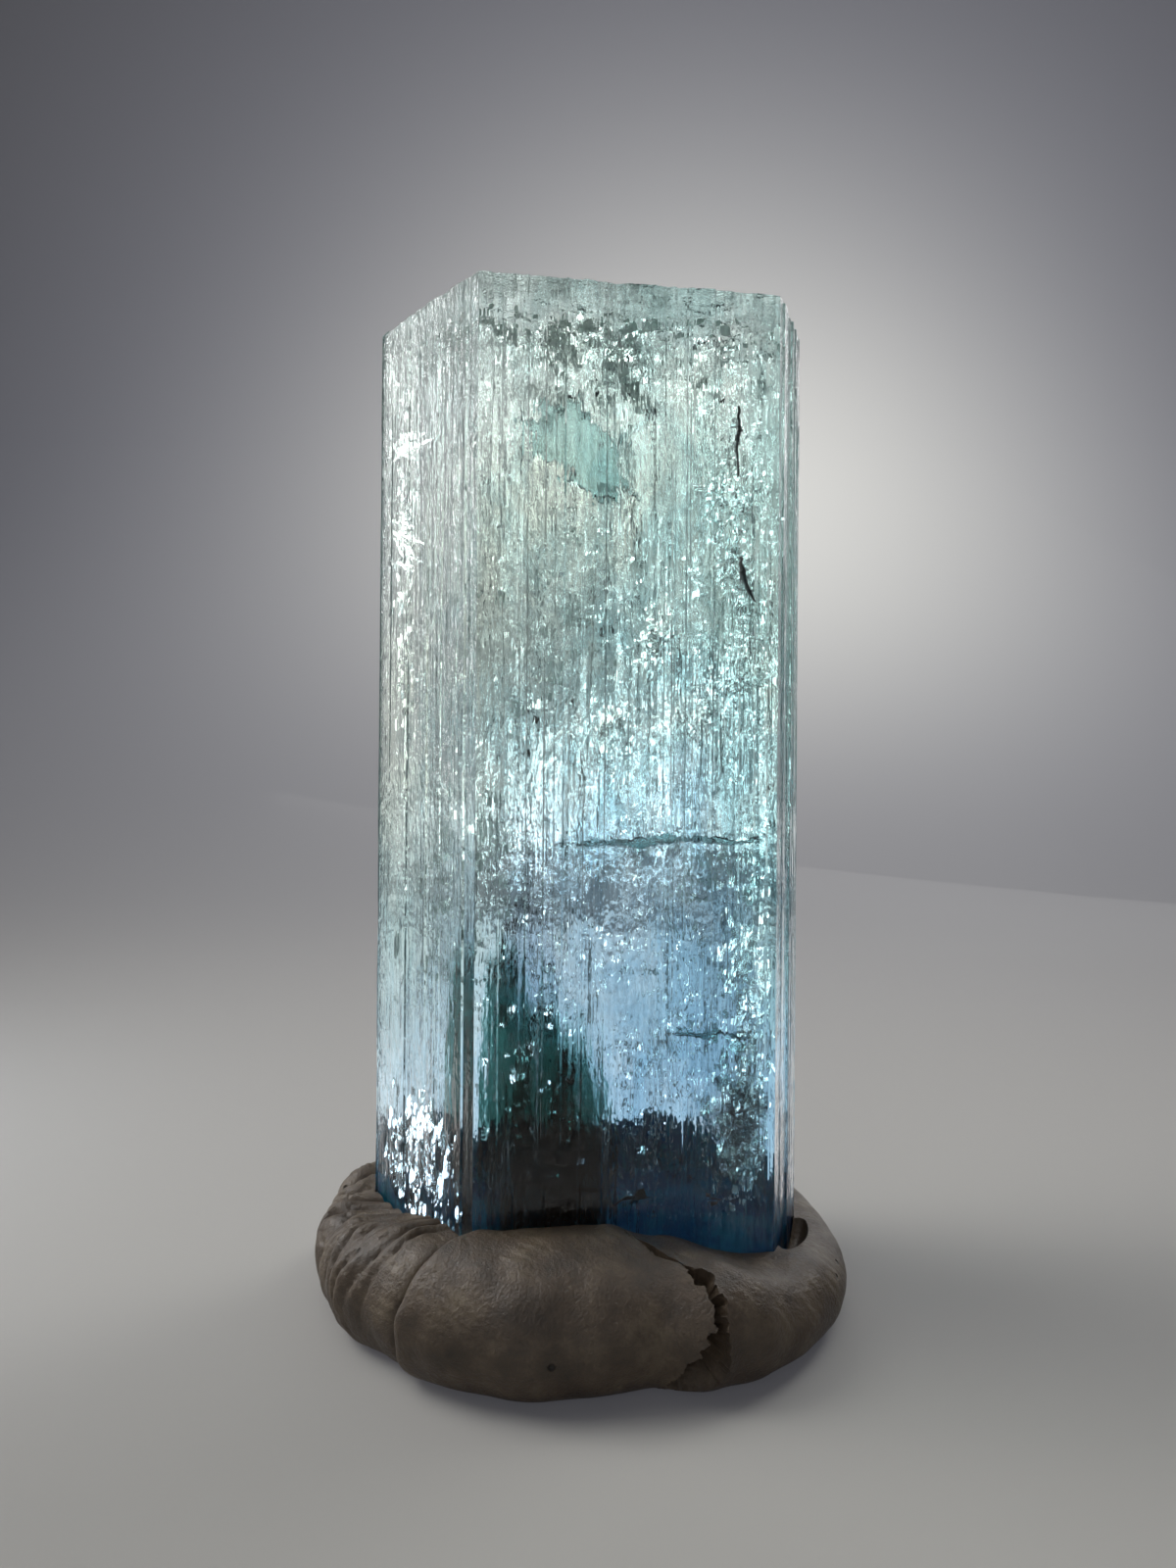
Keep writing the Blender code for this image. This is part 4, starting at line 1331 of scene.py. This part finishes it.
@dataclass
class Studio:
    """A pale paper floor swept up behind, soft pools of painted light on the paper, soft lamps, and the camera."""

    floor_size: float = 900.0
    sweep_distance: float = 150.0
    sweep_height: float = 420.0
    sweep_bend: float = 100.0
    # Pools of painted light on the paper, given as emission: each pool's middle, reach, strength and tint
    painted_light_pools: tuple = (
        ((19.0, 150.0, 40.0), 52.0, 0.56, "FCFBEC"), ((23.0, 150.0, 42.0), 125.0, 0.24, "D4D6EC"),
        ((-44.0, 6.0, 0.0), 20.0, 0.22, "F0F4FA"))
    lamps: tuple = (
        Lamp("left_panel", (-141.0, 51.0, 56.0), (130.0, 110.0), 0.8, 130.0),
        Lamp("right_panel", (92.0, 108.0, 62.0), (90.0, 96.0), 0.27, 130.0),
        Lamp("left_strip", (-139.0, 37.0, 60.0), (6.0, 96.0), 14.0),
        Lamp("right_strip", (50.0, 94.0, 50.0), (3.0, 66.0), 4.0),
        Lamp("high_left_softbox", (-109.0, 29.0, 130.0), (104.0, 92.0), 13.0, 44.0),
        Lamp("high_right_softbox", (92.0, 76.0, 124.0), (62.0, 58.0), 11.0, 40.0),
        Lamp("back_panel", (0.0, 138.0, 62.0), (220.0, 110.0), 0.22, 150.0),
        Lamp("low_back_panel", (22.0, 72.0, 4.7), (120.0, 8.6), 0.78, 130.0, (0.0, 0.0, 4.7)),
        Lamp("middle_back_panel", (22.0, 74.0, 15.0), (120.0, 11.0), 0.22, 130.0, (0.0, 0.0, 15.0)),
        Lamp("floor_panel", (12.0, 38.0, 0.4), (84.0, 66.0), 0.85, 170.0, (12.0, 38.0, 50.0)),
        Lamp("back_strip_right", (14.5, 100.0, 36.0), (1.2, 36.0), 8.0),
        Lamp("back_strip_middle", (4.0, 100.0, 52.0), (0.8, 30.0), 8.0),
        Lamp("back_strip_left", (-10.0, 100.0, 46.0), (0.8, 40.0), 8.0),
        Lamp("back_strip_low_right", (12.5, 70.0, 14.0), (1.6, 18.0), 8.0),
        Lamp("back_strip_low_left", (-3.0, 70.0, 8.0), (1.0, 16.0), 12.0),
        Lamp("overhead_softbox", (-10.0, 20.0, 160.0), (120.0, 120.0), 1.0, 100.0),
        Lamp("far_front_panel", (0.0, -170.0, 52.0), (220.0, 100.0), 0.35, 70.0),
        Lamp("front_fill", (-60.0, -160.0, 90.0), (120.0, 120.0), 0.9),
    )
    back_edge_share: float = 0.9
    bend_segments: int = 32
    camera_place: tuple = (0.15, -38.69, 21.80)
    camera_pitch: float = math.radians(5.683)
    lens: float = 26.0
    paper_tint: str = "8E8C86"
    room_tint: str = "C9CCD6"
    room_light: float = 0.2

    def build(self) -> None:
        """Sets the floor, the world, the lamps and the camera."""
        bpy.context.scene.view_settings.view_transform = "Standard"
        self.floor()
        self.world()
        for lamp in self.lamps:
            self.hang(lamp)
        self.camera()

    def floor(self) -> None:
        """Makes the floor: a plane whose back edge is extruded up and the bend beveled round."""
        deselect()
        bpy.ops.mesh.primitive_plane_add(size=self.floor_size * MM)
        floor = bpy.context.object
        floor.name = "pale_floor"
        move_points(floor, points_of(floor) + (0.0, (self.sweep_distance - self.floor_size / 2) * MM, 0.0), 1.0)
        with edit_mode("DESELECT"):
            pass
        far = self.back_edge_share * self.sweep_distance * MM
        for vert in floor.data.vertices:
            vert.select = vert.co.y > far
        for edge in floor.data.edges:
            edge.select = all(floor.data.vertices[index].select for index in edge.vertices)
        with edit_mode(""):
            bpy.ops.mesh.select_mode(type="EDGE")
            bpy.ops.mesh.extrude_region_move(TRANSFORM_OT_translate={"value": (0.0, 0.0, self.sweep_height * MM)})
        for edge in floor.data.edges:
            ends = [floor.data.vertices[index].co for index in edge.vertices]
            edge.select = all(end.y > far and abs(end.z) < MM for end in ends)
        with edit_mode(""):
            bpy.ops.mesh.bevel(offset=self.sweep_bend * MM, segments=self.bend_segments)
        bpy.ops.object.shade_smooth()
        floor.data.materials.append(self.paper())

    def paper(self) -> Material:
        """Returns the floor's material: matt pale paper, with soft pools of painted light given as emission."""
        material, tree, shader = new_material("pale_backdrop_paper")
        place = add_node(tree, "TexCoord").outputs["Object"]
        glow = add_node(tree, "CombineXYZ")
        for middle, reach, strength, tint in self.painted_light_pools:
            away = add_node(tree, "VectorMath", {0: place, 1: Vector(middle) * MM}, operation="DISTANCE")
            share = add_node(tree, "Math", {0: away.outputs["Value"], 1: reach * MM}, operation="DIVIDE")
            square = add_node(tree, "Math", {0: share, 1: 2.0}, operation="POWER")
            fall = add_node(tree, "Math", {0: square, 1: -1.0}, operation="MULTIPLY")
            pool = add_node(tree, "Math", {0: fall}, operation="EXPONENT")
            shine = Vector(linear(tint)[:3]) * strength
            glow = add_node(tree, "VectorMath", {0: pool, 1: shine, 2: glow},
                            operation="MULTIPLY_ADD")
        fill(tree, shader, {
            "Emission Color": glow, "Emission Strength": 1.0, "Base Color": linear(self.paper_tint), "Roughness": 0.8})
        return material

    def world(self) -> None:
        """Sets a soft grey room light."""
        world = bpy.data.worlds.new("soft_room")
        world.use_nodes = True
        shade = world.node_tree.nodes["Background"]
        fill(world.node_tree, shade, {"Color": linear(self.room_tint), "Strength": self.room_light})
        bpy.context.scene.world = world

    def hang(self, lamp: Lamp) -> None:
        """Hangs one lamp, out of the camera's sight."""
        data = bpy.data.lights.new(lamp.name, "AREA")
        data.shape, data.size, data.size_y = "RECTANGLE", lamp.size[0] * MM, lamp.size[1] * MM
        half = math.radians(lamp.spread) / 2
        data.spread = 2 * half
        data.energy = 4.0 * lamp.shine * data.size * data.size_y * (1.0 - half / math.tan(half))
        thing = bpy.data.objects.new(lamp.name, data)
        thing.location = Vector(lamp.place) * MM
        thing.rotation_euler = (Vector(lamp.aim) - Vector(lamp.place)).to_track_quat("-Z", "Y").to_euler()
        thing.visible_camera = False
        bpy.context.scene.collection.objects.link(thing)

    def camera(self) -> None:
        """Places the camera close in front, a little above the middle and tilted down."""
        data = bpy.data.cameras.new("camera")
        data.lens, data.sensor_width = self.lens, 36.0
        data.clip_start, data.clip_end = 1 * MM, 5.0
        camera = bpy.data.objects.new("camera", data)
        camera.location = Vector(self.camera_place) * MM
        camera.rotation_euler = (math.radians(90.0) - self.camera_pitch, 0.0, 0.0)
        bpy.context.scene.collection.objects.link(camera)
        bpy.context.scene.camera = camera


# ---------------------------------------------------------------- all of it


def main() -> None:
    """Builds and dresses every piece in order."""
    logging.basicConfig(level=logging.INFO, format="%(message)s")
    crystal = CrystalBody().build()
    dress(crystal, BerylFinish().make(), "aquamarine_crystal")
    Inclusions().build()
    tack = TackRing().build()
    dress(tack, TackFinish().make(), "mineral_tack")
    Studio().build()


if __name__ == "__main__":
    main()
